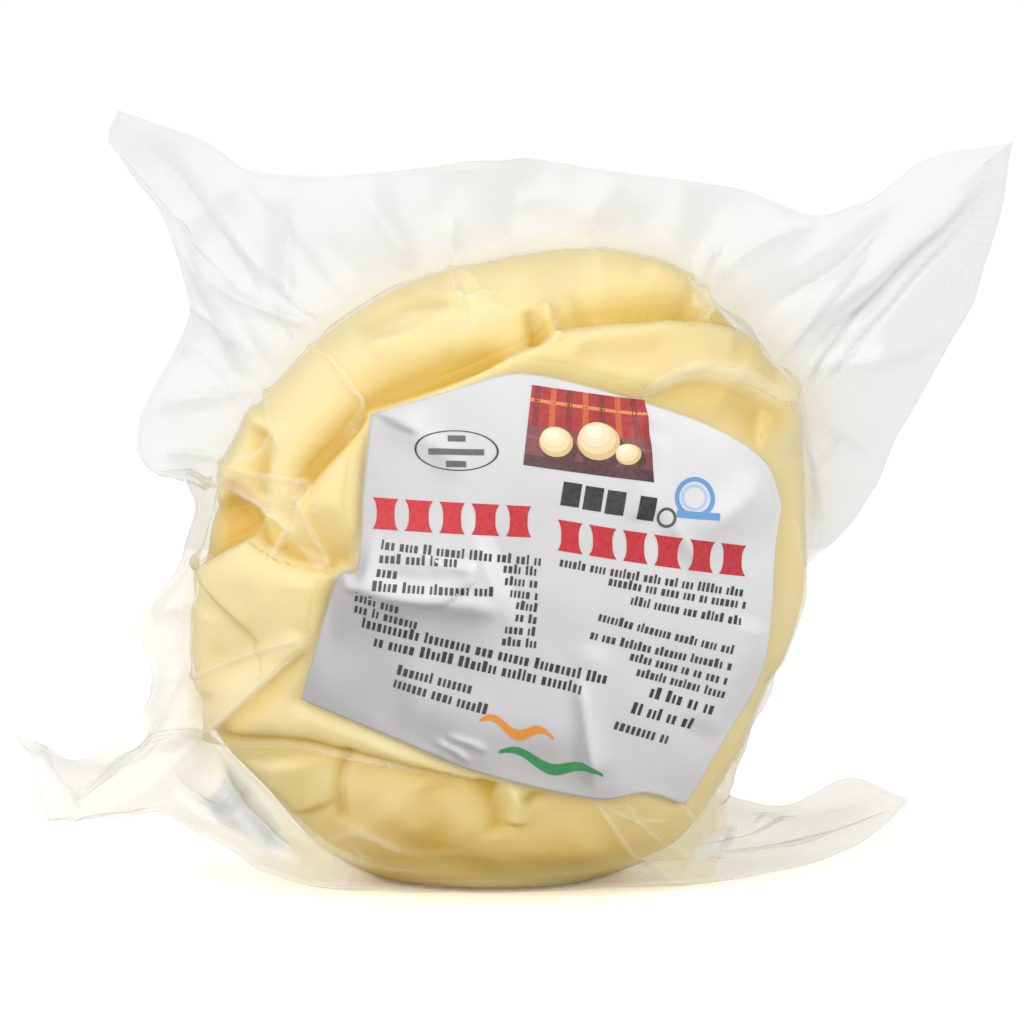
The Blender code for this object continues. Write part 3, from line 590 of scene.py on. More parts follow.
@dataclass(frozen=True)
class BallForm:
    """The plain form of the wound ball, before its ribbon's folds."""

    middle_x: float = 0.0
    middle_z: float = 45.5
    front_depth: float = 27.0
    back_depth: float = 25.5
    squareness: float = 2.2
    radii: tuple[float, ...] = (
        43.6, 45.0, 49.0, 48.2, 49.0, 46.8, 43.4, 42.2, 41.0, 40.3, 40.2, 41.0,
        42.0, 44.7, 46.6, 45.9, 48.0, 47.9, 47.8, 47.4, 48.0, 45.4, 42.8, 43.0,
    )
    seams: tuple[float, ...] = (5.0, 3.0, 1.0, 2.0, 3.0, 5.0, 5.0, -1.0, -9.0, -12.0, -7.0, 5.0)

    def depth(self, side: Side) -> float:
        """Gives the ball's depth to one side."""
        return self.front_depth if side is Side.FRONT else self.back_depth

    def seam_turn(self, degrees: np.ndarray) -> np.ndarray:
        """Gives the turn, 0 at the front's middle and 180 at the back's, at which the two films meet."""
        seam = round_the_ball(self.seams, degrees)
        depth = np.where(seam > 0, self.back_depth, self.front_depth)
        cosine = -np.sign(seam) * (np.abs(seam) / depth) ** (self.squareness / 2.0)
        return np.degrees(np.arccos(cosine))

    def at_turn(self, degrees: np.ndarray, turn: np.ndarray) -> tuple[np.ndarray, np.ndarray]:
        """Finds points of the ball.

        Args:
            degrees: the angle round the ball, as seen from the front.
            turn: the turn from the front's middle.

        Returns:
            The points and the outward normals there.
        """
        power = 2.0 / self.squareness
        cosine = np.cos(np.radians(turn))
        depth = np.where(cosine > 0, self.front_depth, self.back_depth)
        y = -depth * np.sign(cosine) * np.abs(cosine) ** power
        out = round_the_ball(self.radii, degrees) * np.sin(np.radians(turn)) ** power
        return self.placed(degrees, out, y, depth)

    def at_front(self, x: np.ndarray, z: np.ndarray) -> tuple[np.ndarray, np.ndarray]:
        """Finds the ball's front over points (x, z).

        Args:
            x: places across, inside the ball's outline.
            z: heights.

        Returns:
            The points and the outward normals there.
        """
        degrees = np.degrees(np.arctan2(z - self.middle_z, x - self.middle_x))
        out = np.hypot(x - self.middle_x, z - self.middle_z)
        share = np.clip(out / round_the_ball(self.radii, degrees), 0.0, 0.999)
        y = -self.front_depth * (1.0 - share ** self.squareness) ** (1.0 / self.squareness)
        return self.placed(degrees, out, y, np.full_like(x, self.front_depth))

    def placed(self, degrees: np.ndarray, out: np.ndarray, y: np.ndarray,
               depth: np.ndarray) -> tuple[np.ndarray, np.ndarray]:
        """Turns angle, distance out and depth into points and normals."""
        radius = round_the_ball(self.radii, degrees)
        power = self.squareness - 1.0
        slope_out = (out / radius) ** power / radius
        slope_y = np.sign(y) * (np.abs(y) / depth) ** power / depth
        angle = np.radians(degrees)
        normal = np.stack([slope_out * np.cos(angle), slope_y, slope_out * np.sin(angle)], axis=-1)
        normal /= np.linalg.norm(normal, axis=-1, keepdims=True)
        x = self.middle_x + out * np.cos(angle)
        z = self.middle_z + out * np.sin(angle)
        point = np.stack([x, y, z], axis=-1)
        return point, normal


@dataclass(frozen=True)
class Relief:
    """The ribbon's folds over the ball, and what the film does over them."""

    form: BallForm = BallForm()
    label_margin: float = 2.5
    seam_fade: float = 14.0
    dark_foot: float = 20.0
    # Height, length and seed of each set of ripples
    unevenness: tuple = ((0.22, 17.0, 11), (0.07, 6.0, 12))
    film_in_hollows: float = 0.35
    # Painted shade: how much the colour deepens in creases, in hollows and towards the foot, over the height
    # dark_foot
    crease_shade: float = 0.85
    hollow_shade: float = 0.5
    foot_shade: float = 0.48

    def label_outline(self) -> np.ndarray:
        """Gives the label's outline, clockwise from its upper left corner."""
        sides = (LABEL_TOP, LABEL_RIGHT, LABEL_BOTTOM[::-1], LABEL_LEFT[::-1])
        return np.vstack([through_points(side, 5 * len(side))[:-1] for side in sides])

    def pressed(self, x: np.ndarray, z: np.ndarray, side: Side) -> np.ndarray:
        """Gives 0 under the label, which presses the folds flat, and 1 away from it."""
        if side is Side.BACK:
            return np.ones_like(x)
        return smooth_step(-distance_inside(self.label_outline(), x, z) / self.label_margin)

    def cheese(self, x: np.ndarray, z: np.ndarray, side: Side) -> tuple[np.ndarray, np.ndarray, np.ndarray]:
        """Works out the cheese's relief and the film's over it.

        Args:
            x: the points' places across.
            z: the points' heights.
            side: which side of the pack they are on.

        Returns:
            The cheese's height, the painted shade that deepens its colour in creases, in hollows and towards
            the foot, and the height that the film keeps.
        """
        edges, rolls = (FRONT_EDGES, FRONT_ROLLS) if side is Side.FRONT else (BACK_EDGES, BACK_ROLLS)
        height = np.zeros_like(x)
        crease = np.zeros_like(x)
        bridge = np.zeros_like(x)
        for edge in edges:
            lift, cut, span = edge.parts(x, z)
            height += lift
            crease += cut
            bridge += span
        hollow = np.zeros_like(x)
        for roll in rolls:
            swell = roll.at(x, z)
            height += np.maximum(swell, 0.0)
            hollow += np.minimum(swell, 0.0)
        low = smooth_step((self.dark_foot - z) / self.dark_foot)
        flat = self.pressed(x, z, side)
        uneven = sum(high * ripples(x, z, length, seed) for high, length, seed in self.unevenness)
        film = (height + self.film_in_hollows * hollow + bridge + uneven) * flat
        cheese = (height + hollow - crease + uneven) * flat
        # Painted shade, deepest in creases and hollows and towards the foot.
        deep = (crease * self.crease_shade - hollow * self.hollow_shade) * flat + self.foot_shade * low
        return cheese, deep, np.maximum(film, cheese)


RELIEF = Relief()
FORM = RELIEF.form


def add_mesh(name: str, points: np.ndarray, faces: list, shift: np.ndarray,
             values: dict[str, np.ndarray] | None = None) -> bpy.types.Object:
    """Makes a smooth-shaded mesh object.

    Args:
        name: the piece's name.
        points: its points in the layout's millimetres.
        faces: its faces, as rows of three or four point numbers.
        shift: the move from the layout to the frame.
        values: numbers, or colours of four, to keep at each point under a name.

    Returns:
        The object, in the scene.
    """
    mesh = bpy.data.meshes.new(name)
    mesh.from_pydata(((points * DEPTH_SHARE + shift) * METRES).tolist(), [], faces)
    for key, given in (values or {}).items():
        kind = "FLOAT_COLOR" if given.ndim == 2 else "FLOAT"
        attribute = mesh.attributes.new(key, kind, "POINT")
        attribute.data.foreach_set("color" if given.ndim == 2 else "value", given.astype(np.float32).ravel())
    mesh.shade_smooth()
    piece = bpy.data.objects.new(name, mesh)
    bpy.context.scene.collection.objects.link(piece)
    return piece


def ring_shares(count: int) -> np.ndarray:
    """Gives how far out from a pole each of that many rings lies, up to 1 at the last."""
    return (np.arange(1, count + 1) / count)[:, None] ** RING_SPACING


def fan_faces(columns: int) -> np.ndarray:
    """Joins the first point to the ring of points that follows it, with triangles."""
    here = np.arange(columns)
    there = (here + 1) % columns
    return np.stack([np.zeros_like(here), here + 1, there + 1], axis=1)


def ring_faces(rings: int, columns: int, closed: bool = True) -> np.ndarray:
    """Joins rings of points with four-sided faces.

    Args:
        rings: how many rings there are.
        columns: how many points each has.
        closed: whether each ring's last point joins its first.

    Returns:
        The faces, which turn to the viewer where the rings run down and the columns to the right.
    """
    here = np.arange(columns if closed else columns - 1)
    there = (here + 1) % columns
    first = np.stack([here, here + columns, there + columns, there], axis=1)
    return (first[None] + (np.arange(rings - 1) * columns)[:, None, None]).reshape(-1, 4)


class Nodes:
    """A material's node tree, with one way to add a node."""

    def __init__(self, name: str) -> None:
        """Starts an empty material of that name."""
        self.material = bpy.data.materials.new(name)
        self.material.use_nodes = True
        self.tree = self.material.node_tree
        self.tree.nodes.clear()

    @classmethod
    def of_tree(cls, tree: bpy.types.NodeTree) -> "Nodes":
        """Takes over a tree that is there already, such as the world's."""
        nodes = cls.__new__(cls)
        nodes.tree = tree
        return nodes

    def add(self, kind: str, settings: dict | None = None, **inputs: object) -> bpy.types.Node:
        """Adds a node.

        Args:
            kind: the node's type.
            settings: its properties by name.
            inputs: its sockets by name, with _ for a space, or by number as i0, i1: a value, or a socket
                to link from.

        Returns:
            The node.
        """
        node = self.tree.nodes.new(kind)
        for key, value in (settings or {}).items():
            setattr(node, key, value)
        for key, value in inputs.items():
            place = int(key[1:]) if key[0] == "i" and key[1:].isdigit() else key.replace("_", " ")
            socket = node.inputs[place]
            if isinstance(value, bpy.types.NodeSocket):
                self.tree.links.new(value, socket)
            else:
                socket.default_value = value
        return node

    def place(self) -> bpy.types.NodeSocket:
        """Returns the place on the object."""
        return self.add("ShaderNodeTexCoord").outputs["Object"]

    def value(self, name: str) -> bpy.types.NodeSocket:
        """Returns a number that the mesh keeps at its points under that name."""
        return self.add("ShaderNodeAttribute", {"attribute_name": name}).outputs["Fac"]

    def noise(self, place: bpy.types.NodeSocket, size_mm: float, detail: float,
              roughness: float = 0.5) -> bpy.types.NodeSocket:
        """Adds noise with spots of about that size and returns its value."""
        node = self.add("ShaderNodeTexNoise", None, Vector=place, Scale=1.0 / (size_mm * METRES),
                        Detail=detail, Roughness=roughness)
        return node.outputs["Fac"]

    def math(self, operation: str, *values: object, clamp: bool = False) -> bpy.types.NodeSocket:
        """Works something out from up to three numbers or sockets and returns the result."""
        inputs = {f"i{place}": value for place, value in enumerate(values)}
        node = self.add("ShaderNodeMath", {"operation": operation, "use_clamp": clamp}, **inputs)
        return node.outputs[0]

    def ramp(self, factor: bpy.types.NodeSocket, stops: tuple) -> bpy.types.NodeSocket:
        """Adds a colour ramp with stops of (place, sRGB hex colour) and returns its colour."""
        node = self.add("ShaderNodeValToRGB", None, Fac=factor)
        for _ in range(len(stops) - 2):
            node.color_ramp.elements.new(0.5)
        for element, (place, colour) in zip(node.color_ramp.elements, stops):
            element.position = place
            element.color = linear(colour)
        return node.outputs["Color"]

    def bump(self, height: bpy.types.NodeSocket, strength: float, reach: float) -> bpy.types.NodeSocket:
        """Adds relief that is too fine for the mesh and returns its normal."""
        node = self.add("ShaderNodeBump", None, Strength=strength, Distance=reach, Height=height)
        return node.outputs["Normal"]

    def mix(self, share: object, first: bpy.types.NodeSocket,
            second: bpy.types.NodeSocket) -> bpy.types.NodeSocket:
        """Mixes two shaders by the second's share and returns the mix."""
        return self.add("ShaderNodeMixShader", None, i0=share, i1=first, i2=second).outputs[0]

    def finish(self, surface: bpy.types.NodeSocket) -> bpy.types.Material:
        """Ends the material with that shader and returns it."""
        self.add("ShaderNodeOutputMaterial", None, Surface=surface)
        return self.material


@dataclass(frozen=True)
class PulledCurd:
    """Pulled-curd cheese: scalded curd stretched to a smooth ribbon. Light sinks into it, so it glows butter
    yellow. Painted shade deepens the yellow in creases and hollows, towards the foot and on faces turned from
    the light. Faint fibres run along the ribbon."""

    pale: str = "#F5E4B0"
    middle: str = "#ECD488"
    middle_at: float = 0.45
    deep: str = "#DDB428"
    fibre_mm: float = 0.5
    fibre_lean: float = 0.35
    fibre_stretch: tuple[float, float, float] = (0.07, 0.5, 1.0)
    fibre_tone: float = 0.10
    fibre_height: float = 0.0003
    patch_mm: float = 9.0
    patch_tone: float = 0.30
    patch_base: float = -0.09
    roughness: float = 0.36
    ior: float = 1.45
    subsurface: float = 0.6
    reach_mm: float = 3.0
    reach_by_colour: tuple[float, float, float] = (1.0, 0.90, 0.32)

    def material(self) -> bpy.types.Material:
        """Builds the cheese's material."""
        nodes = Nodes("pulled_curd")
        place = nodes.place()
        patches = nodes.noise(place, self.patch_mm, 3.0, 0.55)
        stretched = nodes.add("ShaderNodeMapping", None, Vector=place, Rotation=(0.0, self.fibre_lean, 0.0),
                              Scale=self.fibre_stretch)
        fibres = nodes.noise(stretched.outputs["Vector"], self.fibre_mm, 4.0, 0.6)
        uneven = nodes.math("MULTIPLY_ADD", patches, self.patch_tone, self.patch_base)
        streaks = nodes.math("MULTIPLY_ADD", fibres, self.fibre_tone, uneven)
        # The crease value is painted shade: it takes the colour from pale towards deep.
        depth = nodes.math("ADD", nodes.value("crease"), streaks, clamp=True)
        colour = nodes.ramp(depth, ((0.0, self.pale), (self.middle_at, self.middle), (1.0, self.deep)))
        shader = nodes.add("ShaderNodeBsdfPrincipled", None, Base_Color=colour, Roughness=self.roughness,
                           IOR=self.ior, Subsurface_Weight=self.subsurface,
                           Subsurface_Scale=self.reach_mm * METRES, Subsurface_Radius=self.reach_by_colour,
                           Normal=nodes.bump(fibres, 0.12, self.fibre_height))
        return nodes.finish(shader.outputs["BSDF"])


@dataclass(frozen=True)
class VacuumFilm:
    """Laminated nylon and polyethylene film, blown, and shrunk tight by vacuum. It is clear with a sharp gloss
    that turns to a mirror at a glancing angle, and clouds a little where it is folded. Its cloud is painted
    grey as shade in some folds and cream as the cheese's glow near the ball."""

    tint: str = "#F8F8F7"
    cloud: str = "#ECEEEC"
    painted_cheese_glow: str = "#F1E9CC"
    painted_shade_grey: str = "#C3C8CA"
    passing: float = 0.3
    face_gloss: float = 0.038
    edge_gloss: float = 0.27
    gloss_power: float = 5.0
    roughness: float = 0.22
    knurl_mm: float = 1.25
    knurl_size: float = 0.33
    knurl_haze: float = 0.10
    knurl_height: float = 0.0002

    def material(self) -> bpy.types.Material:
        """Builds the film's material."""
        nodes = Nodes("vacuum_film")
        facing = nodes.add("ShaderNodeLayerWeight", None, Blend=0.5).outputs["Facing"]
        glancing = nodes.math("POWER", facing, self.gloss_power)
        gloss = nodes.math("MULTIPLY_ADD", glancing, self.edge_gloss, self.face_gloss, clamp=True)
        cells = nodes.add("ShaderNodeTexVoronoi", None, Vector=nodes.place(),
                          Scale=1.0 / (self.knurl_mm * METRES), Randomness=0.0)
        dots = nodes.math("LESS_THAN", cells.outputs["Distance"], self.knurl_size)
        knurl = nodes.math("MULTIPLY", dots, nodes.value("seal"))
        # The tone value paints light into the cloud: grey as painted shade, cream as the cheese's painted
        # glow.
        tone = nodes.ramp(nodes.value("tone"), ((0.0, self.painted_shade_grey), (0.5, self.cloud), (1.0, self.painted_cheese_glow)))
        haze = nodes.math("MULTIPLY_ADD", knurl, self.knurl_haze, nodes.value("haze"), clamp=True)
        clear = nodes.add("ShaderNodeBsdfTransparent", None, Color=linear(self.tint))
        mirror = nodes.add("ShaderNodeBsdfGlossy", None, Color=WHITE, Roughness=self.roughness,
                           Normal=nodes.bump(knurl, 0.8, self.knurl_height))
        scattered = nodes.add("ShaderNodeBsdfDiffuse", None, Color=tone)
        passed = nodes.add("ShaderNodeBsdfTranslucent", None, Color=tone)
        milk = nodes.mix(self.passing, scattered.outputs[0], passed.outputs[0])
        body = nodes.mix(haze, clear.outputs[0], milk)
        return nodes.finish(nodes.mix(gloss, body, mirror.outputs[0]))


@dataclass(frozen=True)
class CoatedPaper:
    """Wood-free label paper with a clay coat, calendered smooth: white with a soft satin, a faint cloudiness
    where the fibres lie thicker, and a cool grey where it leans away from the light."""

    white: str = "#E4E3E3"
    grey: str = "#AEACAD"
    grey_at: float = 0.08
    fibre_mm: float = 0.8
    fibre_height: float = 0.0002
    cloud_mm: float = 4.8
    cloud_tone: float = 0.16
    roughness: float = 0.42
    ior: float = 1.5

    def material(self) -> bpy.types.Material:
        """Builds the paper's material."""
        nodes = Nodes("coated_paper")
        place = nodes.place()
        cloud = nodes.noise(place, self.cloud_mm, 5.0, 0.6)
        fibres = nodes.noise(place, self.fibre_mm, 3.0)
        share = nodes.math("MULTIPLY_ADD", cloud, self.cloud_tone, nodes.value("lit"), clamp=True)
        colour = nodes.ramp(share, ((self.grey_at, self.grey), (1.0, self.white)))
        shader = nodes.add("ShaderNodeBsdfPrincipled", None, Base_Color=colour, Roughness=self.roughness,
                           IOR=self.ior, Normal=nodes.bump(fibres, 0.08, self.fibre_height))
        return nodes.finish(shader.outputs["BSDF"])


@dataclass(frozen=True)
class PrintingInk:
    """Flexo printing ink: a thin flat coat on the paper, mottled where the paper took less of it."""

    paper: str = "#E9E6E6"
    mottle_mm: float = 0.6
    mottle_tone: float = 0.10
    mottle_base: float = -0.02
    roughness: float = 0.4
    ior: float = 1.5

    def material(self) -> bpy.types.Material:
        """Builds the ink's material, which takes each shape's colour from the mesh."""
        nodes = Nodes("printing_ink")
        mottle = nodes.noise(nodes.place(), self.mottle_mm, 3.0)
        worn = nodes.math("MULTIPLY_ADD", mottle, self.mottle_tone, self.mottle_base, clamp=True)
        ink = nodes.add("ShaderNodeAttribute", {"attribute_name": "ink"}).outputs["Color"]
        colour = nodes.add("ShaderNodeMix", {"data_type": "RGBA"}, i0=worn, i6=ink, i7=linear(self.paper))
        shader = nodes.add("ShaderNodeBsdfPrincipled", None, Base_Color=colour.outputs[2],
                           Roughness=self.roughness, IOR=self.ior)
        return nodes.finish(shader.outputs["BSDF"])


@dataclass
class CheeseBall:
    """The ball of wound ribbon inside the bag."""

    columns: int = 560
    front_rings: int = 112
    back_rings: int = 62
    under_film: float = 0.3
    foot: float = 0.3
    light_from: tuple[float, float, float] = (-0.45, -0.72, 0.53)
    side_light: tuple[float, float, float] = (0.72, -0.45, 0.18)
    shade_depth: float = 0.52
    shade_power: float = 2.1
    curd: PulledCurd = field(default_factory=PulledCurd)

    def away_from_light(self, grid: np.ndarray) -> np.ndarray:
        """Gives painted shade: how much deeper the colour is made where the cheese faces away from the light.
        """
        across = np.roll(grid, -1, axis=1) - np.roll(grid, 1, axis=1)
        outward = np.gradient(grid, axis=0)
        normal = unit_cross(across, outward)
        front_light = np.array(self.light_from)
        back_light = front_light * (1.0, -1.0, 1.0)
        lights = (front_light, back_light, np.array(self.side_light))
        facing = np.clip(np.max([normal @ light for light in lights], axis=0), 0.0, 1.0)
        return self.shade_depth * (1.0 - facing) ** self.shade_power

    def build(self, shift: np.ndarray) -> bpy.types.Object:
        """Builds and dresses the cheese.

        Args:
            shift: the move from the layout to the frame.

        Returns:
            The piece.
        """
        degrees = -np.arange(self.columns) * 360.0 / self.columns
        seam = FORM.seam_turn(degrees)
        rings = []
        creases = []
        for side, count in ((Side.FRONT, self.front_rings), (Side.BACK, self.back_rings)):
            share = ring_shares(count)
            turn = seam * share if side is Side.FRONT else 180.0 - (180.0 - seam) * share[-2::-1]
            around = np.broadcast_to(degrees, turn.shape)
            point, normal = FORM.at_turn(around, turn)
            height, crease, _ = RELIEF.cheese(point[..., 0], point[..., 2], side)
            fade = smooth_step(np.abs(turn - seam) / RELIEF.seam_fade)
            rings.append(point + normal * (height * fade - self.under_film)[..., None])
            creases.append(crease * fade)
        grid = np.vstack(rings)
        # Painted shade: the crease value adds the shade of faces turned from the light to that of creases and
        # hollows.
        deep = np.vstack(creases) + self.away_from_light(grid)
        front_pole = grid[:1].mean(axis=1)
        back_pole = grid[-1:].mean(axis=1)
        points = np.vstack([front_pole, grid.reshape(-1, 3), back_pole])
        points[:, 2] = np.maximum(points[:, 2], self.foot)
        faces = ring_faces(len(grid), self.columns) + 1
        here = np.arange(self.columns)
        there = (here + 1) % self.columns
        last = len(points) - 1
        start = 1 + (len(grid) - 1) * self.columns
        caps = fan_faces(self.columns)
        ends = np.stack([np.full_like(here, last), start + there, start + here], axis=1)
        every = [face[::-1] for face in faces.tolist() + caps.tolist() + ends.tolist()]
        crease = np.concatenate([[0.0], deep.ravel(), [0.0]])
        piece = add_mesh("cheese_ball", points, every, shift, {"crease": crease})
        piece.data.materials.append(self.curd.material())
        return piece


@dataclass(frozen=True)
class FilmEdge:
    """A stretch of the bag's cut edge: columns of the mesh, and points of (root angle, x, y, z)."""

    columns: int
    points: tuple


FILM_EDGES = (
    FilmEdge(20, (
        (131, -54.3, 14, 109.7), (124, -41.7, 12, 105.3), (117, -35.1, 10, 101.2), (109, -23.5, 6, 100.6),
        (98, -10.6, 3, 101.7), (86, 2.4, 2, 103.0), (72, 17.7, 3, 101.2), (57, 34.6, 1, 98.7),
        (50, 45.1, -1, 95.2), (47, 52.6, -2, 97.5), (44.5, 60.0, -4, 103.0), (41, 72.3, -7, 105.6),
    )),
    FilmEdge(15, (
        (41, 72.3, -7, 105.6), (37, 70.9, -4, 94.1), (30, 66.5, 1, 80.4), (16, 57.5, 8, 61.8),
        (6, 51.4, 12, 50.6), (-2, 45.0, 15, 44.1), (-13, 42.5, 17, 35.4), (-26, 38.0, 15, 25.4),
        (-38, 34.0, 11, 16.5), (-48, 33.2, 6, 10.5),
    )),
    FilmEdge(6, (
        (-48, 33.2, 6, 10.5), (-53.5, 42.1, 10, 9.1), (-56.5, 51.8, 14, 12.6), (-59, 60.2, 14, 9.2),
    )),
    FilmEdge(7, (
        (-59, 60.2, 14, 9.2), (-61.5, 54.5, 10, 4.6), (-64, 44.4, 0, 2.2), (-67, 30.5, -8, 1.2),
        (-72, 22.7, -11.5, 1.4),
    )),
    FilmEdge(8, ((-72, 22.7, -11.5, 1.4), (-90, 0, -15.5, 1.8), (-108, -16, -14, 1.4))),
    FilmEdge(9, (
        (-108, -16, -14, 1.4), (-119, -24.6, -15, 1.7), (-128, -33.1, -14, 4.0), (-139, -46.5, -11, 11.0),
        (-145, -55.5, -12, 10.8), (-150, -63.1, -14, 11.1),
    )),
    FilmEdge(4, ((-150, -63.1, -14, 11.1), (-153, -65.7, -8, 17.9), (-156, -68.4, -2, 21.2))),
    FilmEdge(11, (
        (-156, -68.4, -2, 21.2), (-159, -61.4, 4, 16.9), (-162.5, -54.7, 9, 19.1), (-167, -49.4, 13, 25.4),
        (-173, -52.2, 15, 34.1), (-177, -50.3, 14, 38.6), (-182, -45.0, 12, 44.7), (-189, -42.8, 10, 53.8),
        (-194, -44.6, 8, 58.4),
    )),
    FilmEdge(12, (
        (-194, -44.6, 8, 58.4), (-196.5, -50.3, 10, 58.5), (-202, -51.4, 12, 65.1), (-213, -44.9, 12, 78.1),
        (-218, -44.4, 11, 84.0), (-224, -49.0, 12, 96.9), (-227, -55.5, 15, 104.7), (-229, -54.3, 14, 109.7),
    )),
)
# How far the fins bow out halfway to their edge, as (root angle, x, y, z), read in straight lines between
FILM_BOWS = (
    (131, 0, 2, 0), (109, 0, -2, 0), (86, 0, 2, 0), (72, 0, -1, 0), (57, 0, 1, 0), (41, 0, -3, 0),
    (30, 0, -3, 0), (6, 0, 0, 0), (-26, 1, 0, 0), (-48, 0, 0, 0), (-53.5, 0, 0, -1.6), (-56.5, 0, 0, -3.4),
    (-59, 0, 0, -2.4), (-64, 0, 0, -0.4), (-72, 0, 0, 0), (-119, 0, 0, 0), (-139, 0, 0, -1.5),
    (-150, 0, -2, -3.0), (-153, 0, -2, -5.7), (-156, 0, -2, -7.5), (-159, 0, 0, -4.7), (-162.5, 0, 0, -3.0),
    (-167, -1, 0, 0), (-194, 0, 0, 0), (-213, 0, 2, 0), (-229, 0, 2, 0),
)


@dataclass
class FilmBag:
    """The bag: a front and a back film, tight on the cheese and pressed together in fins round it."""

    finer: int = 8
    front_rings: int = 165
    back_rings: int = 62
    fin_rings: int = 90
    fin_spacing: float = 1.25
    # How the films leave the ball and meet, and how far apart they stay
    lead: float = 3.2
    opening: float = 0.9
    half_gap: float = 0.22
    rim_gap: float = 0.05
    rim_share: float = 0.06
    wedge: float = 2.6
    root_reach: float = 1.1
    loose_gap: float = 0.16
    loose_length: float = 11.0
    loose_seeds: tuple[int, int] = (41, 42)
    loose_from: Span = (0.0, 5.0)
    # The fins' gathers at the ball and their crumples further out
    gather_height: float = 0.5
    gather_length: float = 7.0
    gather_reach: float = 12.0
    gather_lean: float = 0.02
    gather_seed: int = 31
    crumple_height: float = 0.45
    crumple_length: float = 26.0
    crumple_seed: int = 32
    free_from_ball: Span = (0.0, 6.0)
    free_from_floor: Span = (1.0, 6.0)
    lowest_fin: float = 0.5
    # How cloudy the film is, and where: over the cheese, under the label, in the fins and at their edges
    ball_haze: float = 0.02
    label_haze: float = 0.3
    fin_haze: float = 0.035
    root_haze: float = 0.38
    # How far the cheese's painted glow, and the cloud at the root, reach into the fins
    warm_reach: float = 5.0
    edge_haze: float = 0.12
    edge_band: Span = (0.975, 0.995)
    low_haze: float = 0.12
    low_heights: Span = (24.0, 16.0)
    low_from_ball: Span = (0.0, 4.0)
    # Painted shade: folds turn grey from the first height up to the second.
    grey_fold_heights: Span = (20.0, 28.0)
    clear_under_ball: float = 0.93
    under_ball_width: Span = (22.0, 16.0)
    under_ball_height: Span = (7.0, 4.0)
    # The knurled heat seal along the right edge
    seal_line: Line = ((73.5, 106.5), (71.2, 95.0), (67.2, 81.0), (58.5, 62.0))
    seal_band: Span = (5.5, 5.0)
    seal_right_of: float = 50.0
    seal_above: float = 84.0
    film: VacuumFilm = field(default_factory=VacuumFilm)

    def edge(self) -> np.ndarray:
        """Gives the cut edge, one row for each column: root angle, x, y and z."""
        rows = [through_points(edge.points, edge.columns * self.finer)[:-1] for edge in FILM_EDGES]
        return np.vstack(rows)

    def bows(self, root: np.ndarray) -> np.ndarray:
        """Gives how far the film bows out halfway to its edge, for each root angle."""
        known = np.array(sorted(FILM_BOWS), float)
        return np.stack([np.interp(root, known[:, 0], known[:, axis]) for axis in (1, 2, 3)], axis=-1)

    def over_ball(self, root: np.ndarray, turn: np.ndarray, seam: np.ndarray,
                  side: Side) -> tuple[np.ndarray, np.ndarray]:
        """Lays the film over the cheese.

        Args:
            root: the angle of each column.
            turn: the turn of each point.
            seam: the seam's turn in each column.
            side: which film it is.

        Returns:
            The points, and how cloudy the film is at each.
        """
        point, normal = FORM.at_turn(np.broadcast_to(root, turn.shape), turn)
        x, z = point[..., 0], point[..., 2]
        height = RELIEF.cheese(x, z, side)[2]
        haze = np.full_like(x, self.ball_haze)
        for wrinkle in FRONT_WRINKLES if side is Side.FRONT else BACK_WRINKLES:
            fold, cloud = wrinkle.at(x, z)
            height = height + fold
            haze = haze + cloud
        if side is Side.FRONT:
            for flap in FRONT_FLAPS:
                haze = haze + flap.at(x, z)
        fade = smooth_step(np.abs(turn - seam) / RELIEF.seam_fade)
        flat = RELIEF.pressed(x, z, side)
        haze = haze * (self.label_haze + (1.0 - self.label_haze) * flat)
        return point + normal * (height * fade * flat)[..., None], haze

    def fin(self, edge: np.ndarray, seam: np.ndarray) -> tuple[np.ndarray, ...]:
        """Shapes the middle sheet of the fins.

        Args:
            edge: the cut edge, with its root angles.
            seam: where the two films meet on the ball.

        Returns:
            The sheet's points, its normals, how cloudy it is, and its tone: 0 grey as painted shade, 0.5
            white, 1 cream as the cheese's painted glow.
        """
        step = ((np.arange(1, self.fin_rings + 1) / self.fin_rings) ** self.fin_spacing)[:, None, None]
        bow = self.bows(edge[:, 0])
        sheet = seam + (edge[:, 1:] - seam) * step + 4 * step * (1 - step) * bow
        along = np.roll(sheet, -1, axis=1) - np.roll(sheet, 1, axis=1)
        outward = np.gradient(np.concatenate([seam[None], sheet]), axis=0)[1:]
        normal = unit_cross(along, outward)
        x, z = sheet[..., 0], sheet[..., 2]
        away = np.linalg.norm(sheet - seam, axis=-1)
        lift = np.zeros_like(x)
        haze = np.full_like(x, self.fin_haze)
        # Painted glow: the film turns cream near the ball, as if lit by the cheese.
        tone = 0.5 + 0.5 * np.exp(-away / self.warm_reach)
        for crease in FIN_CREASES:
            fold, cloud = crease.at(x, z)
            lift += fold
            haze += cloud
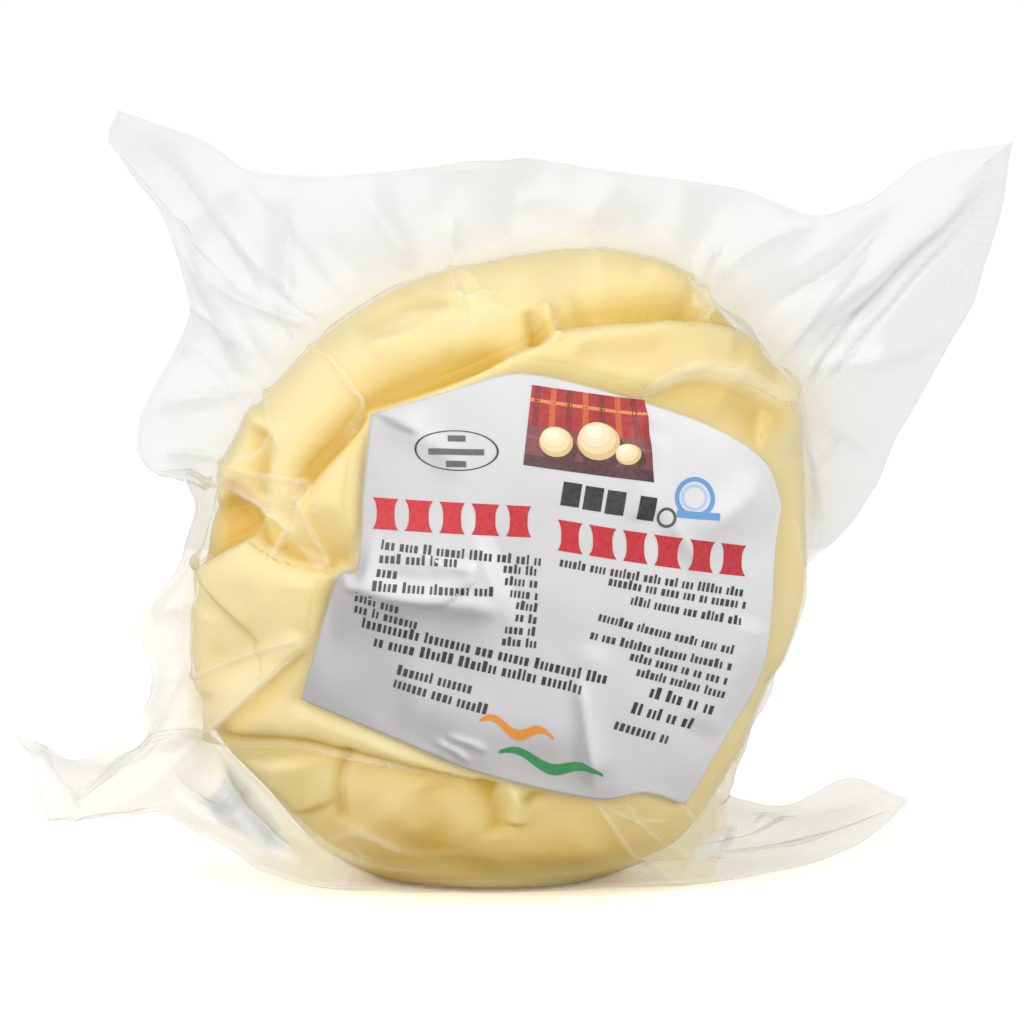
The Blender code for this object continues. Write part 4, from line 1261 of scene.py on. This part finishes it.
            # Painted shade: folds in the upper fins turn grey.
            tone -= cloud * eased(z, *self.grey_fold_heights)
        around = np.broadcast_to(edge[:, 0], x.shape)
        gathers = ripples(around, self.gather_lean * away, self.gather_length, self.gather_seed)
        lift += self.gather_height * gathers * np.exp(-away / self.gather_reach)
        crumple = ripples(x, z, self.crumple_length, self.crumple_seed)
        lift += self.crumple_height * (1.0 - 2.0 * np.abs(crumple).clip(0.0, 1.0))
        haze += self.root_haze * np.exp(-away / self.warm_reach)
        haze += self.edge_haze * eased(step[..., 0], *self.edge_band)
        haze += self.low_haze * eased(z, *self.low_heights) * eased(away, *self.low_from_ball)
        free = eased(away, *self.free_from_ball) * eased(z, *self.free_from_floor)
        sheet = sheet + normal * (lift * free)[..., None]
        sheet[..., 2] = np.maximum(sheet[..., 2], self.lowest_fin)
        # Flaps cloud the film and paint its tone: greyer as shade, creamier as the cheese's glow.
        for flap in FIN_FLAPS:
            cover = flap.at(x, z)
            haze += cover
            tone += cover * flap.tone
        under = eased(np.abs(x), *self.under_ball_width) * eased(z, *self.under_ball_height)
        return sheet, normal, haze * (1.0 - self.clear_under_ball * under), np.clip(tone, 0.0, 1.0)

    def seal(self, points: np.ndarray) -> np.ndarray:
        """Gives 1 in the knurled heat seal and 0 elsewhere."""
        x, z = points[..., 0], points[..., 2]
        distance, _ = from_line(self.seal_line, x, z)
        band = eased(np.abs(distance), *self.seal_band)
        return band * (x > self.seal_right_of) * (z > self.seal_above)

    def build(self, side: Side, shift: np.ndarray) -> bpy.types.Object:
        """Builds and dresses one film of the bag.

        Args:
            side: which film.
            shift: the move from the layout to the frame.

        Returns:
            The piece.
        """
        edge = self.edge()
        root = edge[:, 0]
        seam_turn = FORM.seam_turn(root)
        seam, _ = FORM.at_turn(root, seam_turn)
        radius = round_the_ball(FORM.radii, root)
        lead = np.degrees(self.lead / (0.5 * (FORM.front_depth + radius)))
        if side is Side.FRONT:
            turn = (seam_turn - lead) * ring_shares(self.front_rings)
        else:
            turn = 180.0 - (180.0 - seam_turn - lead) * ring_shares(self.back_rings)
        ball, ball_haze = self.over_ball(root, turn, seam_turn, side)
        sheet, normal, fin_haze, fin_tone = self.fin(edge, seam)
        sign = np.sign((normal[2] * (ball[-1] - seam)).sum())
        normal = normal * sign
        away = np.linalg.norm(sheet - seam, axis=-1)
        opening = self.opening * np.linalg.norm(ball[-1] - seam, axis=-1)
        half = self.half_gap + (opening - self.half_gap) * np.exp(-away / self.wedge)
        seed = self.loose_seeds[0 if side is Side.FRONT else 1]
        loose = self.loose_gap * (1.0 + ripples(sheet[..., 0], sheet[..., 2], self.loose_length, seed))
        rim = smooth_step((1.0 - np.linspace(0.0, 1.0, self.fin_rings))[:, None] / self.rim_share)
        half = (half + np.abs(loose) * eased(away, *self.loose_from)) * rim + self.rim_gap * (1.0 - rim)
        fin = sheet + normal * half[..., None]
        first = seam + normal[0] * opening[:, None]
        fin += (ball[-1] - first) * np.exp(-away / self.root_reach)[..., None]
        grid = np.vstack([ball, fin])
        haze = np.vstack([ball_haze, fin_haze])
        points = np.vstack([grid[:1].mean(axis=1), grid.reshape(-1, 3)])
        points[:, 2] = np.maximum(points[:, 2], 0.0)
        faces = (ring_faces(len(grid), len(edge)) + 1).tolist() + fan_faces(len(edge)).tolist()
        if side is Side.FRONT:
            faces = [face[::-1] for face in faces]
        tone = np.vstack([np.ones_like(ball_haze), fin_tone])
        kept = {"haze": haze, "seal": self.seal(grid), "tone": tone}
        values = {key: np.concatenate([[0.0], given.ravel()]) for key, given in kept.items()}
        piece = add_mesh("film_" + side.name.lower(), points, faces, shift, values)
        piece.data.materials.append(self.film.material())
        # Clear film dims what is behind it so little that lamplight passes through it unchanged.
        piece.visible_shadow = False
        return piece


# The label's own crumples: laps, swellings and sharp folds
LABEL_FOLDS = (
    RibbonEdge(((-2.3, 49.3), (-2.8, 46.2), (-4.9, 44.5), (-8.0, 42.9), (-16.3, 44.0), (-21.5, 45.4)),
               0.9, 9.0, 0.0, 0.16),
    RibbonEdge(((-10.4, 65.5), (-13.4, 66.9), (-16.6, 68.4)), 0.6, 5.0, 0.0, 0.2),
)
LABEL_ROLLS = (
    Roll(((-22.5, 46.0), (-14.0, 45.0), (-5.0, 45.5), (2.0, 48.0)), 1.5, 6.0),
    Roll(((-14.0, 30.0), (-2.0, 27.0), (12.0, 24.0)), 0.5, 4.0),
    Roll(((40.0, 57.0), (31.0, 54.0), (24.0, 50.0)), 0.8, 4.0),
    Roll(((21.0, 66.0), (20.0, 60.0), (20.5, 54.0)), 0.5, 2.4),
    Roll(((14.0, 38.0), (12.0, 28.0), (14.0, 18.0)), 0.5, 2.2),
    Roll(((36.0, 40.0), (33.0, 33.0), (27.0, 24.0)), 0.6, 3.0),
)
LABEL_WRINKLES = (
    Wrinkle(((11.4, 34.0), (12.4, 26.0), (13.6, 16.0)), 0.8, 0.9, 0.0),
    Wrinkle(((-20.5, 44.6), (-12.0, 43.6), (-3.0, 43.0), (2.0, 41.5)), 1.0, 1.6, 0.0),
    Wrinkle(((-17.5, 48.0), (-10.0, 46.5), (-2.0, 47.5)), -0.6, 1.6, 0.0),
    Wrinkle(((-8.8, 24.2), (-5.5, 22.8), (-3.0, 20.6)), 0.5, 0.5, 0.0),
    Wrinkle(((-7.0, 25.0), (-3.6, 24.0), (-0.6, 22.6)), 0.45, 0.5, 0.0),
    Wrinkle(((-9.5, 22.8), (-7.0, 22.0), (-5.5, 20.8)), 0.4, 0.5, 0.0),
    Wrinkle(((22.0, 70.3), (19.8, 66.0), (20.5, 60.0)), 0.9, 1.4, 0.0),
    Wrinkle(((36.5, 61.0), (33.0, 56.0), (26.0, 52.0)), 0.9, 2.0, 0.0),
    Wrinkle(((-16.0, 67.5), (-9.0, 65.0), (-3.0, 60.0)), 0.5, 1.8, 0.0),
)


@dataclass
class PaperLabel:
    """The paper label stuck on the bag's front, slightly crumpled."""

    columns: int = 150
    rows: int = 140
    gap: float = 0.35
    thickness: float = 0.3
    clearance: float = 0.12
    deepest_dent: float = -0.1
    unevenness: tuple[float, float, int] = (0.10, 12.0, 51)
    edge_calm: float = 0.35
    edge_width: float = 2.0
    light_from: tuple[float, float, float] = (0.60, -0.25, 0.50)
    light_span: Span = (-0.08, 0.67)
    paper: CoatedPaper = field(default_factory=CoatedPaper)

    def surface(self, x: np.ndarray, z: np.ndarray, above: float) -> np.ndarray:
        """Finds the paper's outer face.

        Args:
            x: places across.
            z: heights.
            above: how far above the outer face.

        Returns:
            The points.
        """
        point, normal = FORM.at_front(x, z)
        inside = distance_inside(RELIEF.label_outline(), x, z)
        lift = np.zeros_like(x)
        for wrinkle in LABEL_WRINKLES:
            lift += wrinkle.at(x, z)[0]
        for fold in LABEL_FOLDS:
            lift += fold.parts(x, z)[0]
        for roll in LABEL_ROLLS:
            lift += roll.at(x, z)
        high, length, seed = self.unevenness
        lift += high * ripples(x, z, length, seed)
        calm = self.edge_calm + (1.0 - self.edge_calm) * smooth_step(inside / self.edge_width)
        height = self.gap + self.thickness + self.clearance + np.maximum(lift * calm, self.deepest_dent)
        return point + normal * (height + above)[..., None]

    def lit(self, grid: np.ndarray) -> np.ndarray:
        """Gives 1 where the paper faces the light and 0 where it leans away, for rows of its points."""
        facing = unit_cross(np.gradient(grid, axis=0), np.gradient(grid, axis=1)) @ np.array(self.light_from)
        dark, bright = self.light_span
        return np.clip((facing - dark) / (bright - dark), 0.0, 1.0)

    def build(self, shift: np.ndarray) -> bpy.types.Object:
        """Builds and dresses the label.

        Args:
            shift: the move from the layout to the frame.

        Returns:
            The piece.
        """
        top = through_points(LABEL_TOP, self.columns)
        bottom = through_points(LABEL_BOTTOM, self.columns)
        left = through_points(LABEL_LEFT, self.rows)
        right = through_points(LABEL_RIGHT, self.rows)
        across = np.linspace(0.0, 1.0, self.columns + 1)[None, :, None]
        down = np.linspace(0.0, 1.0, self.rows + 1)[:, None, None]
        sheet = (1 - down) * top[None] + down * bottom[None]
        sheet = sheet + (1 - across) * left[:, None] + across * right[:, None]
        sheet -= (1 - down) * ((1 - across) * top[0] + across * top[-1])
        sheet -= down * ((1 - across) * bottom[0] + across * bottom[-1])
        over = self.surface(sheet[..., 0], sheet[..., 1], 0.0)
        under = self.surface(sheet[..., 0], sheet[..., 1], -self.thickness)
        width = self.columns + 1
        count = over.shape[0] * width
        faces = ring_faces(self.rows + 1, width, closed=False)
        border = np.concatenate([
            np.arange(width),
            np.arange(1, self.rows + 1) * width + self.columns,
            self.rows * width + np.arange(self.columns - 1, -1, -1),
            np.arange(self.rows - 1, 0, -1) * width,
        ])
        after = np.roll(border, -1)
        rim = np.stack([border, after, count + after, count + border], axis=1)
        points = np.vstack([over.reshape(-1, 3), under.reshape(-1, 3)])
        every = np.vstack([faces, (faces + count)[:, ::-1], rim])
        lit = np.tile(self.lit(over).ravel(), 2)
        piece = add_mesh("paper_label", points, every.tolist(), shift, {"lit": lit})
        piece.data.materials.append(self.paper.material())
        return piece


@dataclass
class LabelPrint:
    """What is printed on the label: plain fields and shapes in the places and colours of its print."""

    label: PaperLabel
    lift: float = 0.06
    layer_lift: float = 0.01
    cell: float = 0.5
    black: str = "#1E1D1F"
    soft_black: str = "#2C2B2D"
    grey: str = "#555356"
    red: str = "#BE1424"
    blue: str = "#5E96CE"
    pale_blue: str = "#A9C8E6"
    # Sizes of a line of dashes, as shares of a dash's usual height
    dash_widths: Span = (0.26, 0.52)
    dash_gap: float = 0.27
    group_gap: float = 0.5
    tall_dash: float = 1.32
    tall_share: float = 0.22
    ink: PrintingInk = field(default_factory=PrintingInk)

    def __post_init__(self) -> None:
        """Starts with no shapes."""
        self.points: list[np.ndarray] = []
        self.faces: list[np.ndarray] = []
        self.colours: list[np.ndarray] = []
        self.count = 0
        self.layer = 0.0

    def grid(self, flat: np.ndarray, colour: str) -> None:
        """Adds a shape.

        Args:
            flat: its rows and columns of points (x, z) on the label.
            colour: its ink.
        """
        rows, columns = flat.shape[:2]
        height = self.lift + self.layer
        self.points.append(self.label.surface(flat[..., 0], flat[..., 1], height).reshape(-1, 3))
        self.faces.append(ring_faces(rows, columns, closed=False) + self.count)
        self.colours.append(np.tile(linear(colour), (rows * columns, 1)))
        self.count += rows * columns

    def field(self, corners: tuple, colour: str) -> None:
        """Adds a four-cornered field, its corners clockwise from the upper left."""
        upper_left, upper_right, lower_right, lower_left = (np.array(corner, float) for corner in corners)
        wide = max(2, int(np.linalg.norm(upper_right - upper_left) / self.cell) + 2)
        high = max(2, int(np.linalg.norm(lower_left - upper_left) / self.cell) + 2)
        across = np.linspace(0.0, 1.0, wide)[None, :, None]
        down = np.linspace(0.0, 1.0, high)[:, None, None]
        top = upper_left + (upper_right - upper_left) * across
        bottom = lower_left + (lower_right - lower_left) * across
        self.grid(top * (1 - down) + bottom * down, colour)

    def oval(self, middle: tuple, size: tuple, tilt: float, colour: str, hole: float = 0.0,
             span: tuple = (0.0, 360.0)) -> None:
        """Adds an oval or a ring, or a part of one.

        Args:
            middle: its middle (x, z).
            size: its two half widths.
            tilt: its turn in degrees, anticlockwise.
            colour: its ink.
            hole: the hole's size as a share of the whole.
            span: the angles that it runs between.
        """
        angle = np.radians(np.linspace(span[1], span[0], 41))
        share = np.linspace(max(hole, 0.001), 1.0, 4)[:, None]
        x = size[0] * np.cos(angle) * share
        z = size[1] * np.sin(angle) * share
        turn = math.radians(tilt)
        right = x * math.cos(turn) - z * math.sin(turn)
        up = x * math.sin(turn) + z * math.cos(turn)
        self.grid((np.stack([right, up], axis=-1) + np.array(middle))[::-1], colour)

    def bar(self, start: tuple, end: tuple, height: float, colour: str) -> None:
        """Adds a bar of an even height whose lower edge runs from start to end."""
        low = np.array(start, float)
        high = np.array(end, float)
        along = (high - low) / np.linalg.norm(high - low)
        up = np.array([-along[1], along[0]]) * height
        self.field((low + up, high + up, high, low), colour)

    def line_of_dashes(self, start: tuple, end: tuple, height: float, colour: str, seed: int,
                       fewest: int = 2, most: int = 8) -> None:
        """Fills a line with groups of small upright dashes of uneven height and width.

        Args:
            start: the line's left end (x, z).
            end: its right end.
            height: the usual height of a dash.
            colour: their ink.
            seed: fixes the random draw.
            fewest: the fewest dashes in a group.
            most: the most dashes in a group.
        """
        draw = np.random.default_rng(seed)
        low = np.array(start, float)
        run = np.array(end, float) - low
        length = float(np.linalg.norm(run))
        along = run / length
        place = 0.0
        left = int(draw.integers(fewest, most + 1))
        while place < length - 0.3:
            wide = height * float(draw.uniform(*self.dash_widths))
            tall = height * (self.tall_dash if draw.random() < self.tall_share else 1.0)
            self.bar(low + along * place, low + along * (place + wide), tall, colour)
            left -= 1
            place += wide + height * self.dash_gap
            if left == 0:
                place += height * self.group_gap
                left = int(draw.integers(fewest, most + 1))

    def picture(self) -> None:
        """Adds the picture field: cloth stripes over a table top, with rounds of cheese."""
        corners = ((5.1, 72.6), (20.4, 70.4), (21.6, 59.4), (3.9, 62.0))
        upper_left, upper_right, lower_right, lower_left = (np.array(corner) for corner in corners)

        def at(across: float, down: float) -> np.ndarray:
            """Gives the point that far across and down the picture."""
            top = upper_left + (upper_right - upper_left) * across
            bottom = lower_left + (lower_right - lower_left) * across
            return top * (1 - down) + bottom * down

        def band(left: float, right: float, top: float, low: float, colour: str) -> None:
            """Adds a field of the picture."""
            self.field((at(left, top), at(right, top), at(right, low), at(left, low)), colour)

        band(0.0, 1.0, 0.0, 0.5, "#A3201F")
        band(0.0, 1.0, 0.5, 0.86, "#7A3A3C")
        band(0.0, 1.0, 0.86, 1.0, "#4A2528")
        self.layer = self.layer_lift
        for number in range(7):
            left = 0.03 + number * 0.14
            band(left, left + 0.05, 0.0, 0.5, "#C65A2E" if number % 2 else "#7E1416")
        band(0.0, 1.0, 0.16, 0.2, "#D98A4A")
        band(0.0, 1.0, 0.62, 0.65, "#8F5153")
        # Each round's place across and down the picture, and its size
        rounds = ((0.24, 0.66, 2.3), (0.58, 0.58, 2.9), (0.81, 0.70, 1.6))
        # From its shadow up to its highlight: the move right and down, the half widths, and the colour
        tones = (
            (0.03, 0.08, 1.06, 0.84, "#4C2022"),
            (0.0, 0.0, 1.0, 0.86, "#D9BB82"),
            (-0.01, -0.03, 0.88, 0.74, "#E9D3A6"),
            (-0.02, -0.06, 0.66, 0.54, "#F0DFB9"),
            (-0.03, -0.09, 0.38, 0.30, "#F8EED3"),
        )
        first_size = rounds[0][2]
        for number, (right, lower, wide, high, colour) in enumerate(tones):
            self.layer = 2 * self.layer_lift * (number + 1)
            for across, down, size in rounds:
                middle = tuple(at(across + right, down + lower * size / first_size))
                self.oval(middle, (size * wide, size * high), -8.0, colour)
        self.layer = 0.0

    def build(self, shift: np.ndarray) -> bpy.types.Object:
        """Builds and dresses the print.

        Args:
            shift: the move from the layout to the frame.

        Returns:
            The piece.
        """
        self.picture()
        self.title((-16.6, 53.2), 5, 4.5, -0.044, self.red)
        self.title((8.4, 50.5), 6, 4.42, -0.177, self.red)
        for left, wide in ((8.9, 2.5), (11.9, 2.5), (14.9, 2.5), (19.2, 2.3)):
            fall = (left - 8.9) * -0.2
            self.bar((left, 56.6 + fall), (left + wide, 56.6 + fall - 0.4), 3.2, self.black)
        self.oval((23.3, 54.6), (1.3, 1.4), 0.0, "#4A4A4C", 0.72)
        self.oval((-5.1, 63.8), (5.7, 2.7), -1.0, self.black, 0.95)
        for left, right, low in ((-6.3, -3.9, 65.0), (-8.9, -1.4, 63.2), (-6.5, -3.8, 61.6)):
            self.bar((left, low), (right, low), 0.8, self.grey)
        self.oval((27.1, 57.2), (2.6, 2.8), 0.0, self.blue, 0.78)
        self.oval((27.1, 57.2), (1.7, 1.8), 0.0, self.pale_blue, 0.8)
        self.bar((24.6, 54.6), (29.8, 53.8), 1.0, self.blue)
        self.small_print()
        self.waves()
        faces = np.vstack(self.faces).tolist()
        colours = {"ink": np.vstack(self.colours)}
        piece = add_mesh("label_print", np.vstack(self.points), faces, shift, colours)
        piece.data.materials.append(self.ink.material())
        return piece

    def title(self, start: tuple, count: int, pace: float, fall: float, colour: str) -> None:
        """Adds a row of waisted blocks where the label has its title.

        Args:
            start: the lower left corner of the first (x, z).
            count: how many blocks.
            pace: the distance from one to the next.
            fall: the slope of the row.
            colour: their ink.
        """
        high, rows, columns = 4.2, 9, 5
        for number in range(count):
            width = pace * (0.84 if number % 2 else 0.76)
            along = start[0] + pace * (number + 0.42)
            up = np.linspace(1.0, 0.0, rows)[:, None]
            half = 0.5 * width * (0.70 + 0.30 * np.abs(2.0 * up - 1.0) ** 3)
            x = along + half * np.linspace(-1.0, 1.0, columns)[None, :]
            z = start[1] + (x - start[0]) * fall + high * up
            self.grid(np.stack([x, z], axis=-1), colour)

    def small_print(self) -> None:
        """Adds the small print as lines of dashes."""
        left_column = (
            ((-15.2, 50.5), (7.0, 48.3)), ((-15.3, 48.7), (-5.0, 48.3)), ((-15.6, 46.9), (-12.9, 46.6)),
            ((-16.0, 45.1), (-0.3, 44.4)), ((-18.6, 43.6), (-12.9, 42.0)), ((-18.8, 42.0), (-10.2, 39.7)),
        )
        for number, (start, end) in enumerate(left_column):
            self.line_of_dashes(start, end, 1.0, self.soft_black, 60 + number)
        for number, left in enumerate((1.2, 1.4, 2.1, 2.9, 2.8, 1.4, 1.0)):
            drop = number * 1.66
            ends = (left, 47.5 - drop), (5.8, 47.0 - drop)
            self.line_of_dashes(*ends, 0.95, self.soft_black, 70 + number, 2, 5)
        self.line_of_dashes((-17.9, 39.9), (15.5, 31.9), 1.15, self.black, 80, 3, 11)
        self.line_of_dashes((-16.4, 37.3), (12.0, 30.7), 1.15, self.black, 81, 2, 9)
        self.line_of_dashes((-13.3, 33.4), (-3.2, 30.8), 1.1, self.soft_black, 82)
        self.line_of_dashes((-13.8, 31.6), (-1.2, 28.0), 1.1, self.soft_black, 83)
        right_column = (
            ((8.8, 48.3), (34.6, 43.0)), ((15.4, 45.6), (34.2, 41.4)), ((18.4, 42.9), (33.6, 39.2)),
            ((14.0, 40.8), (32.6, 35.2)), ((12.9, 38.3), (32.2, 33.0)), ((18.3, 35.2), (31.6, 31.0)),
            ((19.2, 33.0), (31.0, 29.2)),
        )
        for number, (start, end) in enumerate(right_column):
            self.line_of_dashes(start, end, 0.95, self.soft_black, 90 + number)
        self.line_of_dashes((21.0, 29.9), (29.4, 27.0), 1.25, self.black, 97, 2, 3)
        self.line_of_dashes((18.5, 27.8), (27.2, 24.8), 1.25, self.black, 98, 2, 3)
        self.line_of_dashes((16.2, 25.6), (23.8, 22.9), 1.15, self.soft_black, 99)

    def waves(self) -> None:
        """Adds an orange and a green wave below the print."""
        for start, end, width, colour in (
            ((-2.0, 27.2), (8.0, 24.6), 1.5, "#E08A1E"), ((0.6, 22.6), (14.8, 19.0), 1.7, "#1F8A4A"),
        ):
            along = np.linspace(0.0, 1.0, 41)
            line = np.array(start) + (np.array(end) - np.array(start)) * along[:, None]
            line[:, 1] += 0.8 * np.sin(along * math.tau * 1.5)
            half = width * (0.25 + 0.75 * np.sin(along * math.pi)) * 0.5
            flat = np.stack([line + [0.0, 1.0] * half[:, None], line - [0.0, 1.0] * half[:, None]])
            self.grid(flat, colour)


@dataclass(frozen=True)
class Lamp:
    """A soft square lamp: its name, its place and width in metres, and its power in watts."""

    name: str
    place: tuple[float, float, float]
    width: float
    power: float


@dataclass(frozen=True)
class Studio:
    """A plain white floor in a white room, a lamp on either side, and the camera at the photograph's angle.

    The camera's distance, target and scale are millimetres in the pack's layout, and all else is metres.
    """

    distance: float = 650.0
    elevation: float = 6.0
    target: tuple[float, float] = (2.4, 53.0)
    pixels_per_mm: float = 7.03
    picture: float = 1024.0
    sensor: float = 36.0
    room_light: float = 0.69
    floor_half: float = 0.42
    floor_seen: float = 1.60
    floor_tones: tuple[str, str] = ("#D8D8D8", "#DEDEDE")
    floor_grain_mm: float = 10.0 / 3.0
    # Painted warm light: the floor glows for the camera only, which lifts its shadow as if the cheese's warm
    # light fell there.
    floor_glow: tuple[float, float, float, float] = (0.25, 0.20, 0.14, 1.0)
    # What glossy surfaces mirror: the strength away from and towards the brightest part of the room
    shine: Span = (0.55, 2.2)
    shine_from: tuple[float, float, float] = (-0.55, -0.45, 0.70)
    shine_span: Span = (0.1, 0.95)
    lamps: tuple[Lamp, ...] = (
        Lamp("left", (-0.75, -0.95, 0.72), 1.0, 9.0),
        Lamp("right", (1.05, -0.80, 0.42), 0.9, 5.3),
    )
    lamps_aim: tuple[float, float, float] = (0.0, 0.0, 0.05)
    # Rays pass many layers of film before they reach the floor.
    film_layers: int = 32

    def camera(self, shift: np.ndarray) -> None:
        """Adds the camera.

        Args:
            shift: the move from the layout to the frame.
        """
        tilt = math.radians(self.elevation)
        place = np.array([
            self.target[0],
            -self.distance * math.cos(tilt),
            self.target[1] + self.distance * math.sin(tilt),
        ])
        lens = bpy.data.cameras.new("camera")
        lens.sensor_width = self.sensor
        lens.lens = self.pixels_per_mm * self.distance / self.picture * self.sensor
        lens.clip_start = 0.01
        lens.clip_end = 20.0
        camera = bpy.data.objects.new("camera", lens)
        camera.location = (place + shift) * METRES
        camera.rotation_euler = (math.radians(90.0) - tilt, 0.0, 0.0)
        bpy.context.scene.collection.objects.link(camera)
        bpy.context.scene.camera = camera

    def light(self, lamp: Lamp) -> None:
        """Adds a lamp, which glossy surfaces don't mirror."""
        light = bpy.data.lights.new(lamp.name, "AREA")
        light.size = lamp.width
        light.energy = lamp.power
        piece = bpy.data.objects.new(lamp.name, light)
        piece.location = lamp.place
        piece.visible_glossy = False
        across, away, up = np.array(self.lamps_aim) - np.array(lamp.place)
        tilt = math.pi / 2 + math.atan2(up, math.hypot(across, away))
        piece.rotation_euler = (tilt, 0.0, math.atan2(away, across) - math.pi / 2)
        bpy.context.scene.collection.objects.link(piece)

    def floor(self) -> None:
        """Adds the floor."""
        half = self.floor_half
        mesh = bpy.data.meshes.new("floor")
        corners = [(-half, -half, 0), (half, -half, 0), (half, half, 0), (-half, half, 0)]
        mesh.from_pydata(corners, [], [(0, 1, 2, 3)])
        nodes = Nodes("white_floor")
        grain = nodes.noise(nodes.place(), self.floor_grain_mm, 2.0)
        paint = nodes.ramp(grain, ((0.0, self.floor_tones[0]), (1.0, self.floor_tones[1])))
        to_camera = nodes.add("ShaderNodeLightPath").outputs["Is Camera Ray"]
        seen = nodes.math("MULTIPLY_ADD", to_camera, self.floor_seen - 1.0, 1.0)
        colour = nodes.add("ShaderNodeVectorMath", {"operation": "SCALE"}, i0=paint, Scale=seen)
        matt = nodes.add("ShaderNodeBsdfDiffuse", None, Color=colour.outputs[0])
        # Painted warm light, seen by the camera only
        glow = nodes.add("ShaderNodeEmission", None, Color=self.floor_glow, Strength=to_camera)
        shader = nodes.add("ShaderNodeAddShader", None, i0=matt.outputs[0], i1=glow.outputs[0])
        mesh.materials.append(nodes.finish(shader.outputs[0]))
        floor = bpy.data.objects.new("floor", mesh)
        bpy.context.scene.collection.objects.link(floor)

    def world(self) -> None:
        """Sets the white surroundings, which light the pack less than the camera sees them."""
        world = bpy.data.worlds.new("white_room")
        world.use_nodes = True
        world.node_tree.nodes.clear()
        nodes = Nodes.of_tree(world.node_tree)
        path = nodes.add("ShaderNodeLightPath")
        heading = nodes.add("ShaderNodeTexCoord").outputs["Generated"]
        towards = nodes.add("ShaderNodeVectorMath", {"operation": "DOT_PRODUCT"}, i0=heading,
                            i1=self.shine_from)
        shine = nodes.add("ShaderNodeMapRange", {"interpolation_type": "SMOOTHSTEP"},
                          Value=towards.outputs["Value"], From_Min=self.shine_span[0],
                          From_Max=self.shine_span[1], To_Min=self.shine[0], To_Max=self.shine[1])
        seen, lighting, mirrored = (
            nodes.add("ShaderNodeBackground", None, Color=WHITE, Strength=strength).outputs[0]
            for strength in (1.0, self.room_light, shine.outputs["Result"])
        )
        unseen = nodes.mix(path.outputs["Is Glossy Ray"], lighting, mirrored)
        whole = nodes.mix(path.outputs["Is Camera Ray"], unseen, seen)
        nodes.add("ShaderNodeOutputWorld", None, Surface=whole)
        bpy.context.scene.world = world

    def build(self, shift: np.ndarray) -> None:
        """Builds the studio.

        Args:
            shift: the move from the layout to the frame.
        """
        scene = bpy.context.scene
        scene.view_settings.view_transform = "Standard"
        scene.view_settings.look = "None"
        scene.cycles.transparent_max_bounces = self.film_layers
        self.camera(shift)
        self.floor()
        self.world()
        for lamp in self.lamps:
            self.light(lamp)


def keep(piece: bpy.types.Object, node: str) -> None:
    """Rides a piece on the pack in place of a node, and logs it.

    Args:
        piece: the piece.
        node: the solid that it stands for.
    """
    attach(piece, "root")
    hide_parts(node)
    LOG.info("%s: %d faces, in place of %s", piece.name, len(piece.data.polygons), node)


def main() -> None:
    """Builds the pack in order: cheese, film, label, print and the studio round it."""
    logging.basicConfig(level=logging.INFO, format="%(message)s")
    shift = Placement().shift()
    keep(CheeseBall().build(shift), "bag")
    bag = FilmBag()
    for side in Side:
        keep(bag.build(side, shift), "bag")
    label = PaperLabel()
    keep(label.build(shift), "label")
    keep(LabelPrint(label).build(shift), "label")
    Studio().build(shift)


if __name__ == "__main__":
    main()
